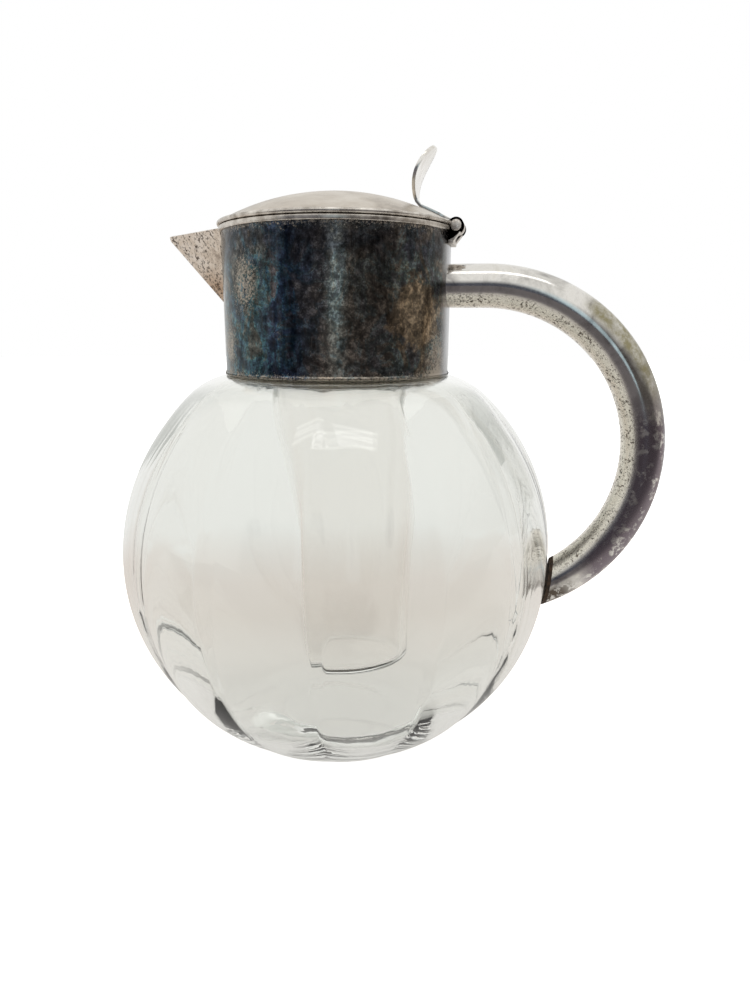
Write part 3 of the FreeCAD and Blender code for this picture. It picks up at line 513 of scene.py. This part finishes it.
bowl = {
    "belly": 89.97, "foot": 29, "footEdge": 4, "wall": 3.2, "base": 9, "insideCorner": 16,
    "shoulder": 33, "neck": 42, "neckWall": 4, "shoulderInset": 3.1,
    "dip": 0.8, "dipRadius": 18,             # ground hollow under the foot
    "lobes": 14, "crease": 2.0, "insideCrease": 0.6, "firstCrease": -4.5, "stepsPerLobe": 24,
    "footFade": 45, "lobesFade": (141, 157),                 # levels over which the lobes run out
}


def bowlCentre():
    # the level of the bowl's middle, from its belly and the foot that the belly runs into
    belly, foot, edge = bowl["belly"], bowl["foot"], bowl["footEdge"]
    return edge + math.sqrt((belly - edge) ** 2 - foot ** 2)


def makeBowl():
    neckTop = levels("glass_globe")[1]
    belly, foot, edge = bowl["belly"], bowl["foot"], bowl["footEdge"]
    centre = bowlCentre()
    shoulderAcross = bowl["neck"] - bowl["shoulderInset"]
    shoulderUp = centre + math.sqrt((belly - bowl["shoulder"]) ** 2 - shoulderAcross ** 2)
    footTurn = math.degrees(math.atan2(edge - centre, foot))
    highTurn = math.degrees(math.atan2(shoulderUp - centre, shoulderAcross))
    neckTurn = math.degrees(math.acos(bowl["shoulderInset"] / bowl["shoulder"]))
    lip = bowl["neckWall"] / 2

    piece = startPoint("bowl_body", 0, bowl["dip"])
    lineTo(bowl["dipRadius"], bowl["dip"] * 0.7, 4)
    lineTo(foot - 6, 0, 2)
    lineTo(foot, 0)
    arcRound(foot, edge, 90 + footTurn, 4)
    arcRound(0, centre, highTurn - footTurn, 80)
    arcRound(shoulderAcross, shoulderUp, neckTurn - highTurn, 10)
    lineTo(bowl["neck"], neckTop - lip, 3)
    arcRound(bowl["neck"] - lip, neckTop - lip, 180, 8)

    # back down the inside, whose curves run inside the outer ones by the wall
    insideCentre = centre + 0.2 * bowl["wall"]
    insideBelly = belly - bowl["wall"]
    corner = bowl["insideCorner"]
    insideUp = insideCentre + shoulderUp - centre
    insideShoulder = bowl["shoulder"] - bowl["wall"]
    throat = bowl["neck"] - bowl["neckWall"]
    throatTurn = math.degrees(math.acos((throat - shoulderAcross) / insideShoulder))
    cornerUp = bowl["base"] + corner
    cornerAcross = math.sqrt((insideBelly - corner) ** 2 - (insideCentre - cornerUp) ** 2)
    cornerTurn = math.degrees(math.atan2(cornerUp - insideCentre, cornerAcross))
    lineTo(throat, insideUp + insideShoulder * math.sin(math.radians(throatTurn)), 3)
    arcRound(shoulderAcross, insideUp, highTurn - throatTurn, 10)
    arcRound(0, insideCentre, cornerTurn - highTurn, 72)
    arcRound(cornerAcross, cornerUp, -90 - cornerTurn, 10)
    lineTo(0, bowl["base"], 6)
    latheRound(bowl["lobes"] * bowl["stepsPerLobe"], start=bowl["firstCrease"])
    finishMesh()

    pressLobes(piece, "outside", centre, belly - bowl["wall"] / 2, 2 * belly, bowl["crease"])
    pressLobes(piece, "inside", insideCentre, 0, belly - bowl["wall"] / 2, -bowl["insideCrease"])
    smoothOver(piece, 50)
    settle(piece, finishes["bowl"], "jug", "glass_globe")
    return piece


def pressLobes(piece, name, centre, nearest, furthest, depth):
    # the mould's creases are deepest on their own lines and fade to the crest of each lobe
    group = piece.vertex_groups.new(name=name)
    lobeTurn = 2 * math.pi / bowl["lobes"]
    first = math.radians(bowl["firstCrease"])
    fadeLow, fadeHigh = bowl["lobesFade"]
    for vert in piece.data.vertices:
        across = math.hypot(vert.co.x, vert.co.y) / mm
        up = vert.co.z / mm
        reach = math.hypot(across, up - centre)
        if up >= fadeHigh or not nearest < reach < furthest:
            continue
        share = ((math.atan2(vert.co.y, vert.co.x) - first) % lobeTurn) / lobeTurn
        fade = min(1, (fadeHigh - up) / (fadeHigh - fadeLow), up / bowl["footFade"])
        group.add([vert.index], (2 * share - 1) ** 2 * across / bowl["belly"] * fade, "REPLACE")
    changeBy(piece, "DISPLACE", vertex_group=name, strength=-depth * mm, mid_level=0, direction="NORMAL")


makeBowl()


# Ice tube, drawn upright under the carrier and then leant

iceTube = {
    "top": 27.8, "foot": 20.8, "length": 175, "straight": 68, "wall": 2, "base": 3, "corner": 4,
    "lip": 28.2, "lipUp": 4.3, "lipHeight": 2.6, "sleeveBelow": 7, "lean": -2.4, "shift": -1.4, "steps": 144,
}


def makeIceTube():
    hang = levels("insert_carrier_ring")[0] + iceTube["sleeveBelow"]
    corner, foot, wall = iceTube["corner"], iceTube["foot"], iceTube["wall"]
    top = iceTube["top"]
    waist = hang - iceTube["straight"]
    tilt = math.degrees(math.atan((top - foot) / (iceTube["length"] - corner - iceTube["straight"])))
    lipLow = hang + iceTube["lipUp"]
    half = iceTube["lipHeight"] / 2
    bottom = hang - iceTube["length"]

    piece = startPoint("ice_tube_body", 0, bottom)
    lineTo(foot - corner, bottom, 3)
    arcRound(foot - corner, bottom + corner, 90 - tilt, 10)
    lineTo(top - 0.4, waist - 6, 18)
    lineTo(top - 0.1, waist - 1.5)
    lineTo(top, waist + 3)
    lineTo(top, lipLow, 10)
    lineTo(iceTube["lip"] - half / 2, lipLow)
    arcRound(iceTube["lip"] - half / 2, lipLow + half, 180, 10)
    lineTo(top - wall + 0.8, lipLow + 2 * half)
    lineTo(top - wall, lipLow + half)
    lineTo(top - wall, waist + 3, 10)
    lineTo(top - wall - 0.1, waist - 1.5)
    lineTo(top - wall - 0.4, waist - 6)
    insideCorner = corner - wall
    floorUp = bottom + iceTube["base"]
    lineTo(foot - wall, floorUp + insideCorner, 18)
    arcRound(foot - wall - insideCorner, floorUp + insideCorner, -90, 6)
    lineTo(0, floorUp, 3)
    latheRound(iceTube["steps"])
    pickAll()
    turnPicked(iceTube["lean"], acrossAxis, (0, 0, hang * mm))
    bpy.ops.transform.translate(value=(iceTube["shift"] * mm, 0, 0))
    finishMesh()
    smoothOver(piece, 50)
    settle(piece, finishes["tube"], "ice_insert", "ice_tube")
    return piece


makeIceTube()


# Collar

collar = {
    "radius": 45.25, "wall": 0.9, "edge": 0.15, "steps": 192, "rows": 22,
    "dent": 0.12, "dentSize": 34,
    "hole": 1.6, "holeRows": 4, "holeUp": 4.3, "holeAcross": 4.4, "firstHole": 5.5,
    "beadOut": 0.95, "beadIn": 0.3, "footOut": 0.5, "footHigh": 1.5, "gate": 8.7,
}


def dent(piece, depth, size):
    # slow waves that hand work and use leave in thin sheet
    waves = bpy.data.textures.new(piece.name + "_waves", "CLOUDS")
    waves.noise_scale = size * mm
    waves.noise_depth = 1
    changeBy(piece, "DISPLACE", texture=waves, texture_coords="LOCAL", strength=depth * mm, mid_level=0.5)
    bpy.data.textures.remove(waves)


def makeCollarBand():
    low, high = levels("collar_band")
    radius, wall, edge = collar["radius"], collar["wall"], collar["edge"]
    piece = startPoint("collar_sheet", radius - wall, low + edge)
    lineTo(radius - wall + edge, low)
    lineTo(radius - edge, low)
    lineTo(radius, low + edge)
    lineTo(radius, high, collar["rows"])
    lineTo(radius - wall, high)
    lineTo(radius - wall, low + edge, collar["rows"])
    latheRound(collar["steps"])
    finishMesh()
    dent(piece, collar["dent"], collar["dentSize"])

    # strainer behind the spout: rows of one, two, three and four holes
    spoutLow = levels("spout_beak")[0]
    for row in range(collar["holeRows"]):
        for number in range(row + 1):
            bpy.ops.mesh.primitive_cylinder_add(
                vertices=20, radius=collar["hole"] * mm, depth=12 * mm, rotation=(0, math.pi / 2, 0),
                location=(-radius * mm, (number - row / 2) * collar["holeAcross"] * mm,
                          (spoutLow + collar["firstHole"] + row * collar["holeUp"]) * mm))
            drill = bpy.context.object
            bpy.ops.object.transform_apply(location=True, rotation=True, scale=True)
            cutAway(piece, drill)
    smoothOver(piece, 40)
    settle(piece, finishes["collar"], "jug", "collar_band")


def makeTopBead():
    low, high = levels("collar_top_bead")
    inner = collar["radius"] - collar["wall"] - collar["beadIn"]
    outer = collar["radius"] + collar["beadOut"]
    soft = 0.55
    piece = startPoint("collar_lip", inner, low)
    lineTo(outer - soft, low)
    arcRound(outer - soft, low + soft, 90, 5)
    lineTo(outer, high - soft)
    arcRound(outer - soft, high - soft, 90, 6)
    lineTo(inner + soft, high)
    arcRound(inner + soft, high - soft, 90, 5)
    closeOutline()
    gap = math.degrees(math.asin(collar["gate"] / outer))
    latheRound(collar["steps"], 360 - 2 * gap, gap)
    finishMesh()
    smoothOver(piece, 40)
    settle(piece, finishes["wire"], "jug", "collar_top_bead")


def makeFootRing():
    low = levels("collar_foot_ring")[0]
    high = low + collar["footHigh"]
    radius = collar["radius"]
    half = (high - low) / 2
    piece = startPoint("collar_foot_wire", radius, low)
    out = collar["footOut"]
    lineTo(radius + 0.5 * out, low)
    lineTo(radius + out, low + half * 0.6)
    lineTo(radius + out, low + half)
    lineTo(radius + 0.4 * out, high - half * 0.4)
    lineTo(radius, high)
    closeOutline()
    latheRound(collar["steps"])
    finishMesh()
    changeBy(piece, "BEVEL", width=0.18 * mm, segments=2, limit_method="ANGLE", angle_limit=math.radians(20))
    smoothOver(piece, 50)
    settle(piece, finishes["collar"], "jug", "collar_foot_ring")


makeCollarBand()
makeTopBead()
makeFootRing()


# Spout, a folded sheet with its keel below

spout = {
    "reach": 25.2, "half": 15, "drop": 1, "wall": 1, "tipHalf": 0.7, "deep": 30, "inside": 3,
    "rows": 16, "sideRows": 12,
    "flange": 2.4, "flangeWall": 0.6, "flangeRows": 14, "flangeHalf": 16.4, "flangeDown": 0.3, "tuckedIn": 1,
}


def drawKeel(half, deep, rows):
    # down to the keel and up again on the other side
    for side in (1, -1):
        for count in range(rows):
            bpy.ops.mesh.extrude_region_move(TRANSFORM_OT_translate={
                "value": (0, half * mm / rows, -side * deep * mm / rows)})


def makeSpout():
    low, high = levels("spout_beak")
    radius = collar["radius"]
    start = radius - spout["inside"]
    reach = spout["reach"] + spout["inside"]
    half = spout["half"] * reach / spout["reach"]
    deep = spout["deep"] * reach / spout["reach"]
    piece = startPoint("spout_sheet", -start, high)
    bpy.ops.transform.translate(value=(0, -half * mm, 0))
    drawKeel(half, deep, spout["sideRows"])
    pickAll()
    # each row outwards is smaller, and the last is nearly a point
    tipShare = spout["tipHalf"] / half
    for count in range(spout["rows"]):
        share = (count + 1) / spout["rows"]
        size = 1 - share * (1 - tipShare)
        before = 1 - (share - 1 / spout["rows"]) * (1 - tipShare)
        bpy.ops.mesh.extrude_region_move(TRANSFORM_OT_translate={
            "value": (-reach * mm / spout["rows"], 0, -spout["drop"] * mm / spout["rows"])})
        bpy.ops.transform.resize(value=(1, size / before, size / before),
                                 center_override=(0, 0, (high - spout["drop"] * share) * mm))
    pickAll()
    bpy.ops.mesh.normals_make_consistent(inside=False)
    bpy.ops.object.mode_set(mode="OBJECT")
    changeBy(piece, "SOLIDIFY", thickness=spout["wall"] * mm, offset=0)
    edging = makeFlange(low, high)
    bpy.ops.object.select_all(action="DESELECT")
    edging.select_set(True)
    piece.select_set(True)
    bpy.context.view_layer.objects.active = piece
    bpy.ops.object.join()
    smoothOver(piece, 30)
    settle(piece, finishes["spout"], "jug", "spout_beak")


def makeFlange(low, high):
    # the narrow edging that is soldered to the collar round the spout's root
    top = high - spout["flangeDown"]
    deep = top - low - spout["flangeWall"]
    piece = startPoint("spout_edging", 0, top)
    bpy.ops.transform.translate(value=(0, -spout["flangeHalf"] * mm, 0))
    drawKeel(spout["flangeHalf"], deep, spout["flangeRows"])
    pickAll()
    bpy.ops.mesh.extrude_region_move()
    inner = spout["half"] - spout["tuckedIn"]
    keelWidth = 2.2 * spout["flange"]        # the edging is wider below, measured down its keel
    bpy.ops.transform.resize(value=(1, inner / spout["flangeHalf"], 1 - keelWidth / deep),
                             center_override=(0, 0, high * mm))
    finishMesh()
    # bent round the band
    for vert in piece.data.vertices:
        vert.co.x = -math.sqrt((collar["radius"] * mm) ** 2 - vert.co.y ** 2)
    changeBy(piece, "SOLIDIFY", thickness=2 * spout["flangeWall"] * mm, offset=0)
    return piece


makeSpout()


# Handle

handle = {
    "radius": 8.3, "wall": 1, "start": 44.42, "straight": 14, "bend": 63.5, "rootAbove": 34.4,
    "sweep": 172, "steps": 172, "sides": 72, "padWall": 1.4, "endWall": 1,
}


def makeHandle():
    rootUp = levels("collar_band")[0] + handle["rootAbove"]
    bendAcross = collar["radius"] + handle["straight"]
    bendUp = rootUp - handle["bend"]
    bpy.ops.object.select_all(action="DESELECT")
    bpy.ops.mesh.primitive_circle_add(vertices=handle["sides"], radius=handle["radius"] * mm,
                                      location=(handle["start"] * mm, 0, rootUp * mm),
                                      rotation=(0, math.pi / 2, 0))
    piece = bpy.context.object
    piece.name = "handle_bent_tube"
    bpy.ops.object.transform_apply(location=True, rotation=True, scale=True)
    bpy.ops.object.mode_set(mode="EDIT")
    pickAll()
    run = bendAcross - handle["start"]
    for count in range(8):
        bpy.ops.mesh.extrude_region_move(TRANSFORM_OT_translate={"value": (run * mm / 8, 0, 0)})
    bpy.ops.mesh.spin(steps=handle["steps"], angle=-math.radians(handle["sweep"]),
                      center=(bendAcross * mm, 0, bendUp * mm), axis=acrossAxis)
    finishMesh()
    changeBy(piece, "SOLIDIFY", thickness=handle["wall"] * mm, offset=-1)

    # the lower end is cut to the bowl, with room for its plate and its cork
    bpy.ops.object.select_all(action="DESELECT")
    bpy.ops.mesh.primitive_uv_sphere_add(
        segments=256, ring_count=128, radius=(bowl["belly"] + handle["padWall"] + handle["endWall"]) * mm,
        location=(0, 0, bowlCentre() * mm))
    ball = bpy.context.object
    bpy.ops.object.transform_apply(location=True, rotation=True, scale=True)
    cutAway(piece, ball)
    smoothOver(piece, 40)
    settle(piece, finishes["handle"], "jug", "handle_tube")


makeHandle()


# Lid

lid = {
    "radius": 46.75, "rim": 1.75, "wall": 0.9, "steps": 192, "dent": 0.1, "dentSize": 28,
    "barrel": 2.9, "notchGap": 0.35, "knuckle": 6.3, "hingeOut": 2.35,
}


def domeSphere():
    # how far out the dome ends, its top, and the radius that its curve has
    edgeAcross = lid["radius"] - lid["rim"]
    topUp = levels("lid_dome")[1]
    rise = topUp - levels("lid_rim_wire")[1]
    return edgeAcross, topUp, (edgeAcross ** 2 + rise ** 2) / (2 * rise)


def domeAt(across):
    # the dome's outside above a place
    edgeAcross, topUp, sphere = domeSphere()
    return topUp - sphere + math.sqrt(sphere ** 2 - across ** 2)


def hingePlace():
    # where the hinge pin's centre line crosses the jug's middle
    return collar["radius"] + lid["hingeOut"], levels("lid_rim_wire")[0]


def clearBarrel(piece):
    across, up = hingePlace()
    cutAway(piece, crossBar(across, up, lid["barrel"] + lid["notchGap"], 2 * collar["gate"]))


def makeDome():
    edgeAcross, topUp, sphere = domeSphere()
    edgeUp = levels("lid_rim_wire")[1]
    turn = math.degrees(math.asin(edgeAcross / sphere))
    piece = startPoint("lid_shell", 0, topUp)
    arcRound(0, topUp - sphere, -turn, 40)
    lineTo(edgeAcross, edgeUp - lid["wall"])
    arcRound(0, topUp - sphere - lid["wall"], turn, 40)
    latheRound(lid["steps"])
    finishMesh()
    dent(piece, lid["dent"], lid["dentSize"])
    clearBarrel(piece)
    smoothOver(piece, 40)
    settle(piece, finishes["lid"], "lid", "lid_dome")


def makeRim():
    low, high = levels("lid_rim_wire")
    inner = lid["radius"] - lid["rim"]
    half = (high - low) / 2
    piece = startPoint("lid_rim", inner, low)
    lineTo(lid["radius"] - half, low)
    arcRound(lid["radius"] - half, low + half, 180, 10)
    lineTo(inner, high)
    closeOutline()
    latheRound(lid["steps"])
    finishMesh()
    clearBarrel(piece)
    smoothOver(piece, 40)
    settle(piece, finishes["wire"], "lid", "lid_rim_wire")


makeDome()
makeRim()


# Strap and thumbpiece, bent from one plate

thumb = {
    "wall": 1.2, "place": 31, "height": 20.9, "sweep": 7, "bow": 2.6, "half": 9.6, "foot": 4.6,
    "bend": 2, "leafRows": 28, "strapRows": 8, "columns": 10, "widest": 0.55,
}


def leafHalf(share):
    # half the leaf's width from its foot (0) to its tip (1)
    if share < thumb["widest"]:
        growth = math.sin(share / thumb["widest"] * math.pi / 2)
        return thumb["foot"] + (thumb["half"] - thumb["foot"]) * growth
    past = (share - thumb["widest"]) / (1 - thumb["widest"])
    return thumb["half"] * math.sqrt(max(0.0, 1 - past ** 2))


def makeThumbpiece():
    across, up = hingePlace()
    skin = thumb["wall"] / 2
    footUp = domeAt(thumb["place"])
    piece = startPoint("lid_strap_and_thumbpiece", across, up + lid["barrel"] - skin)
    stations = [lid["knuckle"] / 2]
    strapEnd = across - lid["barrel"]
    bendOut = thumb["place"] + thumb["bend"] + skin
    for count in range(thumb["strapRows"] + 1):
        share = count / thumb["strapRows"]
        at = strapEnd + (bendOut - strapEnd) * share
        lineTo(at, domeAt(at) + skin)
        stations.append(lid["knuckle"] / 2 + (thumb["foot"] - lid["knuckle"] / 2) * share)
    lineTo(thumb["place"] + skin + 0.6, footUp + skin + 0.7)
    stations.append(thumb["foot"])
    lineTo(thumb["place"] + skin, footUp + skin + thumb["bend"])
    stations.append(thumb["foot"])
    startUp = footUp + skin + thumb["bend"]
    tall = footUp + thumb["height"] - startUp
    for count in range(thumb["leafRows"]):
        share = math.sin((count + 1) / thumb["leafRows"] * math.pi / 2)
        lean = thumb["sweep"] * share ** 1.6 - thumb["bow"] * math.sin(math.pi * share) * 0.55
        lineTo(thumb["place"] + skin + lean, startUp + tall * share)
        stations.append(leafHalf(share))

    # widened to both sides of the wire, column by column, and each row brought to its own width
    pickAll()
    bpy.ops.transform.translate(value=(0, -mm, 0))
    for count in range(thumb["columns"]):
        bpy.ops.mesh.extrude_region_move(TRANSFORM_OT_translate={"value": (0, 2 * mm / thumb["columns"], 0)})
    finishMesh()
    rows = len(stations)
    for vert in piece.data.vertices:
        row = vert.index % rows
        vert.co.y *= stations[row]
    changeBy(piece, "SOLIDIFY", thickness=thumb["wall"] * mm, offset=0)
    changeBy(piece, "BEVEL", width=0.25 * mm, segments=2, limit_method="ANGLE", angle_limit=math.radians(50))
    smoothOver(piece, 50)
    settle(piece, finishes["thumb"], "lid", "lid_strap_thumbpiece")


makeThumbpiece()


# Hinge: two ears with their leg, the lid's own barrel, and a riveted wire through all three

hinge = {
    "barrel": 2.9, "half": 7.75, "knuckleHalf": 3.15, "gap": 0.3, "pin": 1.5, "head": 2.1, "headHeight": 0.6,
    "drop": 6.5, "leg": 1.6, "soft": 0.3, "sides": 48,
    "sunk": 0.5, "earUp": 1, "meet": -55, "turn": 235, "lip": 0.6, "play": 0.05,
}


def turnedBar(name, outline, closed):
    # an outline turned upright, then laid across the jug on the hinge's line
    piece = startPoint(name, *outline[0])
    for across, up in outline[1:]:
        lineTo(across, up)
    if closed:
        closeOutline()
    latheRound(hinge["sides"])
    pickAll()
    turnPicked(90, (1, 0, 0))
    across, up = hingePlace()
    bpy.ops.transform.translate(value=(across * mm, 0, up * mm))
    finishMesh()
    return piece


def makeKnuckle():
    barrel, half, soft = hinge["barrel"], hinge["knuckleHalf"], hinge["soft"]
    bore = hinge["pin"] + hinge["play"]
    piece = turnedBar("lid_barrel", [
        (bore, -half), (barrel - soft, -half), (barrel - 0.1, -half + 0.1), (barrel, -half + soft),
        (barrel, half - soft), (barrel - 0.1, half - 0.1), (barrel - soft, half), (bore, half)], True)
    smoothOver(piece, 50)
    settle(piece, finishes["hinge"], "lid", "lid_knuckle")


def makePin():
    shank, head, half = hinge["pin"] - 0.02, hinge["head"], hinge["half"]
    end = half + hinge["headHeight"]
    outline = [(0, -end), (head * 0.5, -end + 0.04), (head * 0.85, -end + 0.2), (head, -half), (shank, -half)]
    piece = turnedBar("hinge_rivet", outline + [(across, -up) for across, up in reversed(outline)], False)
    smoothOver(piece, 50)
    settle(piece, finishes["hinge"], "jug", "hinge_pin")


def extrudedSide(name, outline, turn, side, near, far):
    # an outline with a round head, filled and drawn out across the jug
    across, up = hingePlace()
    piece = startPoint(name, *outline[0])
    for point in outline[1:]:
        lineTo(*point)
    if turn:
        arcRound(across, up, turn, 32)
    closeOutline()
    pickAll()
    bpy.ops.mesh.edge_face_add()
    bpy.ops.transform.translate(value=(0, side * near * mm, 0))
    bpy.ops.mesh.extrude_region_move(TRANSFORM_OT_translate={"value": (0, side * (far - near) * mm, 0)})
    finishMesh()
    changeBy(piece, "BEVEL", width=hinge["soft"] * mm, segments=3, limit_method="ANGLE",
             angle_limit=math.radians(50))
    return piece


def makeBracket():
    across, up = hingePlace()
    barrel, ears = hinge["barrel"], hinge["knuckleHalf"] + hinge["gap"]
    root, front = collar["radius"] - hinge["sunk"], collar["radius"] + hinge["leg"]
    foot = up - hinge["drop"]
    earFoot = foot + hinge["earUp"]
    crook = up - barrel - hinge["leg"]
    meet = math.radians(hinge["meet"])
    ear = [(root, up), (root, earFoot), (front, earFoot), (front, crook),
           (across + barrel * math.cos(meet), up + barrel * math.sin(meet))]
    leg = [(root, foot), (front, foot), (front, crook), (front + hinge["lip"], up - barrel - 0.7),
           (root, up - barrel - 0.5)]
    parts = [extrudedSide("hinge_ears", ear, hinge["turn"], side, ears, hinge["half"]) for side in (1, -1)]
    legEnd = hinge["half"] - hinge["play"]
    parts.append(extrudedSide("hinge_leg", leg, 0, 1, -legEnd, legEnd))
    bpy.ops.object.select_all(action="DESELECT")
    for part in parts:
        part.select_set(True)
    bpy.context.view_layer.objects.active = parts[0]
    bpy.ops.object.join()
    smoothOver(parts[0], 50)
    settle(parts[0], finishes["hinge"], "jug", "hinge_bracket")


makeKnuckle()
makePin()
makeBracket()


# Inner parts keep their CAD shapes

kept = {
    "neck_cement": "plaster", "insert_seat_ring": "inner", "insert_carrier_ring": "inner",
    "insert_gasket": "rubber", "lid_locating_ring": "inner", "handle_end_plate": "handle",
    "handle_cork_pad": "cork",
}
for node, finishName in kept.items():
    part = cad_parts[node]
    for slot in part.material_slots:
        slot.material = finishes[finishName]
print("inner parts finished")


# Floor, light and camera

view = {
    "azimuth": 13.5, "away": 0.30404, "high": 0.17882, "down": 13.65, "roll": 0.27, "aside": 2.94,
    "lens": 26.0,
}


def makeCamera():
    around, aside = math.radians(view["azimuth"]), math.radians(view["aside"])
    down, roll = math.radians(view["down"]), math.radians(view["roll"])
    ahead = Vector((-math.sin(around), math.cos(around), 0))
    right = Vector((math.cos(around), math.sin(around), 0))
    level = Vector(upAxis)
    toward = ahead * math.cos(aside) + right * math.sin(aside)
    right = right * math.cos(aside) - ahead * math.sin(aside)
    forward = toward * math.cos(down) - level * math.sin(down)
    top = toward * math.sin(down) + level * math.cos(down)
    side = right * math.cos(roll) + top * math.sin(roll)
    top = top * math.cos(roll) - right * math.sin(roll)
    bpy.ops.object.camera_add(location=(0, 0, 0))
    camera = bpy.context.object
    place = Matrix((side, top, -forward)).transposed().to_4x4()
    away = math.sin(around) * view["away"], -math.cos(around) * view["away"]
    place.translation = Vector((*away, view["high"]))
    camera.matrix_world = place
    camera.data.lens = view["lens"]
    camera.data.clip_start = 0.01
    bpy.context.scene.camera = camera


def aheadOf():
    # the level directions away from the camera and to its right
    around = math.radians(view["azimuth"])
    return (-math.sin(around), math.cos(around), 0), (math.cos(around), math.sin(around), 0)


def makeFloor():
    bpy.ops.object.select_all(action="DESELECT")
    bpy.ops.mesh.primitive_circle_add(vertices=96, radius=4, fill_type="NGON", location=(0, 0, -0.05 * mm))
    floor = bpy.context.object
    floor.name = "floor"
    finish, tree = newFinish("whiteTable")
    place = objectPlace(tree)
    ahead = add(tree, "VectorMath", {0: place, 1: aheadOf()[0]}, operation="DOT_PRODUCT").outputs["Value"]
    # dark room beyond the table's near edge, white table, its far edge in soft warm shade, a pale wall's foot
    throughGlass = between(tree, add(tree, "LightPath").outputs["Transmission Depth"], 0, 1, 0, 0.28)
    depth = sums(tree, "MAXIMUM", between(tree, ahead, -400 * mm, 800 * mm), throughGlass)
    tone = add(tree, "ValToRGB", {"Fac": depth}, [
        (0.0, "#6C686A"), (0.11, "#7A7678"), (0.18, "#D0CDC8"), (0.30, "#ECEAE6"), (0.36, "#EAE6E1"),
        (0.43, "#E0D8D1"), (0.48, "#E2DAD4"), (0.60, "#EFEFED"), (1.0, "#F2F2F0")]).outputs[0]
    matt = add(tree, "BsdfDiffuse", {"Color": tone}).outputs[0]
    fill = add(tree, "Emission", {"Color": tone, "Strength": 0.98}).outputs[0]
    table = add(tree, "MixShader", {0: 0.72, 1: matt, 2: fill}).outputs[0]
    glow = add(tree, "Emission", {"Color": "#FFFFFF", "Strength": 0.85}).outputs[0]
    bright = add(tree, "AddShader", {0: matt, 1: glow}).outputs[0]
    seen = add(tree, "LightPath").outputs["Is Camera Ray"]
    endWith(tree, add(tree, "MixShader", {0: seen, 1: table, 2: bright}).outputs[0])
    floor.data.materials.append(finish)


room = {
    "ring": [  # tone of the room round the horizon, from behind the jug by its left to the front and on
        (0.0, "#FFFFFF"), (0.10, "#F4F4F2"), (0.335, "#ECECE9"), (0.352, "#5A5D66"),
        (0.474, "#4C4E58"), (0.482, "#C4DAE4"), (0.507, "#C4DAE4"), (0.515, "#56524F"), (0.64, "#5E5A58"),
        (0.68, "#B6B1AB"), (0.87, "#CFCDC8"), (0.91, "#FFFFFF")],
    "beyond": [  # the same round for what shows through glass: a pale wall with its shaded corners
        (0.0, "#F8F8F5"), (0.05, "#F6F6F3"), (0.08, "#969A94"), (0.12, "#969A94"), (0.15, "#F2F2EF"),
        (0.30, "#EEEEEB"), (0.36, "#E2E3E0"), (0.62, "#E2E3E0"), (0.68, "#EEEEEB"), (0.85, "#F2F2EF"),
        (0.88, "#969A94"), (0.92, "#969A94"), (0.95, "#F6F6F3")],
    "window": (8, 71), "windowSize": (0.26, 0.10), "windowLight": 2.6, "slats": 110,
}


def makeLight():
    world = bpy.data.worlds.new("studio")
    bpy.context.scene.world = world
    world.use_nodes = True
    tree = world.node_tree
    tree.nodes.clear()
    around = add(tree, "TexCoord").outputs["Generated"]
    up = add(tree, "SeparateXYZ", {0: around}).outputs[2]
    turned = add(tree, "Mapping", {"Vector": around, "Rotation": (0, 0, math.radians(90 - view["azimuth"]))})
    ring = add(tree, "TexGradient", {"Vector": turned.outputs[0]}, gradient_type="RADIAL").outputs["Fac"]
    horizon = add(tree, "ValToRGB", {"Fac": ring}, room["ring"]).outputs[0]
    ceiling = between(tree, up, 0.16, 0.46)
    seenInMetal = blend(tree, ceiling, horizon, "#F6F6F4")
    # what shows through glass is the pale wall behind, and only a little of the dark room
    beyond = add(tree, "ValToRGB", {"Fac": ring}, room["beyond"]).outputs[0]
    seenInGlass = blend(tree, 0.75, seenInMetal, beyond)
    paths = add(tree, "LightPath").outputs
    throughGlass = between(tree, paths["Transmission Depth"], 0, 1)
    tone = blend(tree, throughGlass, seenInMetal, seenInGlass)
    tone = blend(tree, paths["Is Diffuse Ray"], tone, "#FFFFFF")
    # a skylight above the camera
    ahead, right = (Vector(axis) for axis in aheadOf())
    side, high = (math.radians(angle) for angle in room["window"])
    level = right * math.sin(side) - ahead * math.cos(side)
    middle = level * math.cos(high) + Vector(upAxis) * math.sin(high)
    lift = right.cross(middle).normalized()
    inside = None
    for axis, half in zip((right, lift), room["windowSize"]):
        across = add(tree, "VectorMath", {0: around, 1: tuple(axis)}, operation="DOT_PRODUCT")
        across = sums(tree, "ABSOLUTE", sums(tree, "SUBTRACT", across.outputs["Value"], middle.dot(axis)))
        share = between(tree, across, half, half * 0.94)
        inside = share if inside is None else sums(tree, "MULTIPLY", inside, share)
    inside = sums(tree, "MULTIPLY", inside, between(tree, up, 0.3, 0.4))
    slats = sums(tree, "SINE", sums(tree, "MULTIPLY", across, room["slats"]))
    inside = sums(tree, "MULTIPLY", inside, between(tree, slats, -0.6, 0.6, 0.35, 1))
    light = add(tree, "Background", {"Color": tone, "Strength": 1.0}).outputs[0]
    skylight = add(tree, "Background", {"Color": "#FFFFFF", "Strength": room["windowLight"]}).outputs[0]
    lit = add(tree, "MixShader", {0: inside, 1: light, 2: skylight}).outputs[0]
    white = add(tree, "Background", {"Color": "#FFFFFF", "Strength": 1.0}).outputs[0]
    add(tree, "OutputWorld", {"Surface": add(tree, "MixShader", {
        0: paths["Is Camera Ray"], 1: lit, 2: white}).outputs[0]})


makeCamera()
makeFloor()
makeLight()
bpy.context.scene.view_settings.view_transform = "Standard"
for bounces in ("max_bounces", "transmission_bounces", "glossy_bounces"):
    setattr(bpy.context.scene.cycles, bounces, 28)      # light turns many times inside a glass wall's edge
print("stage ready")
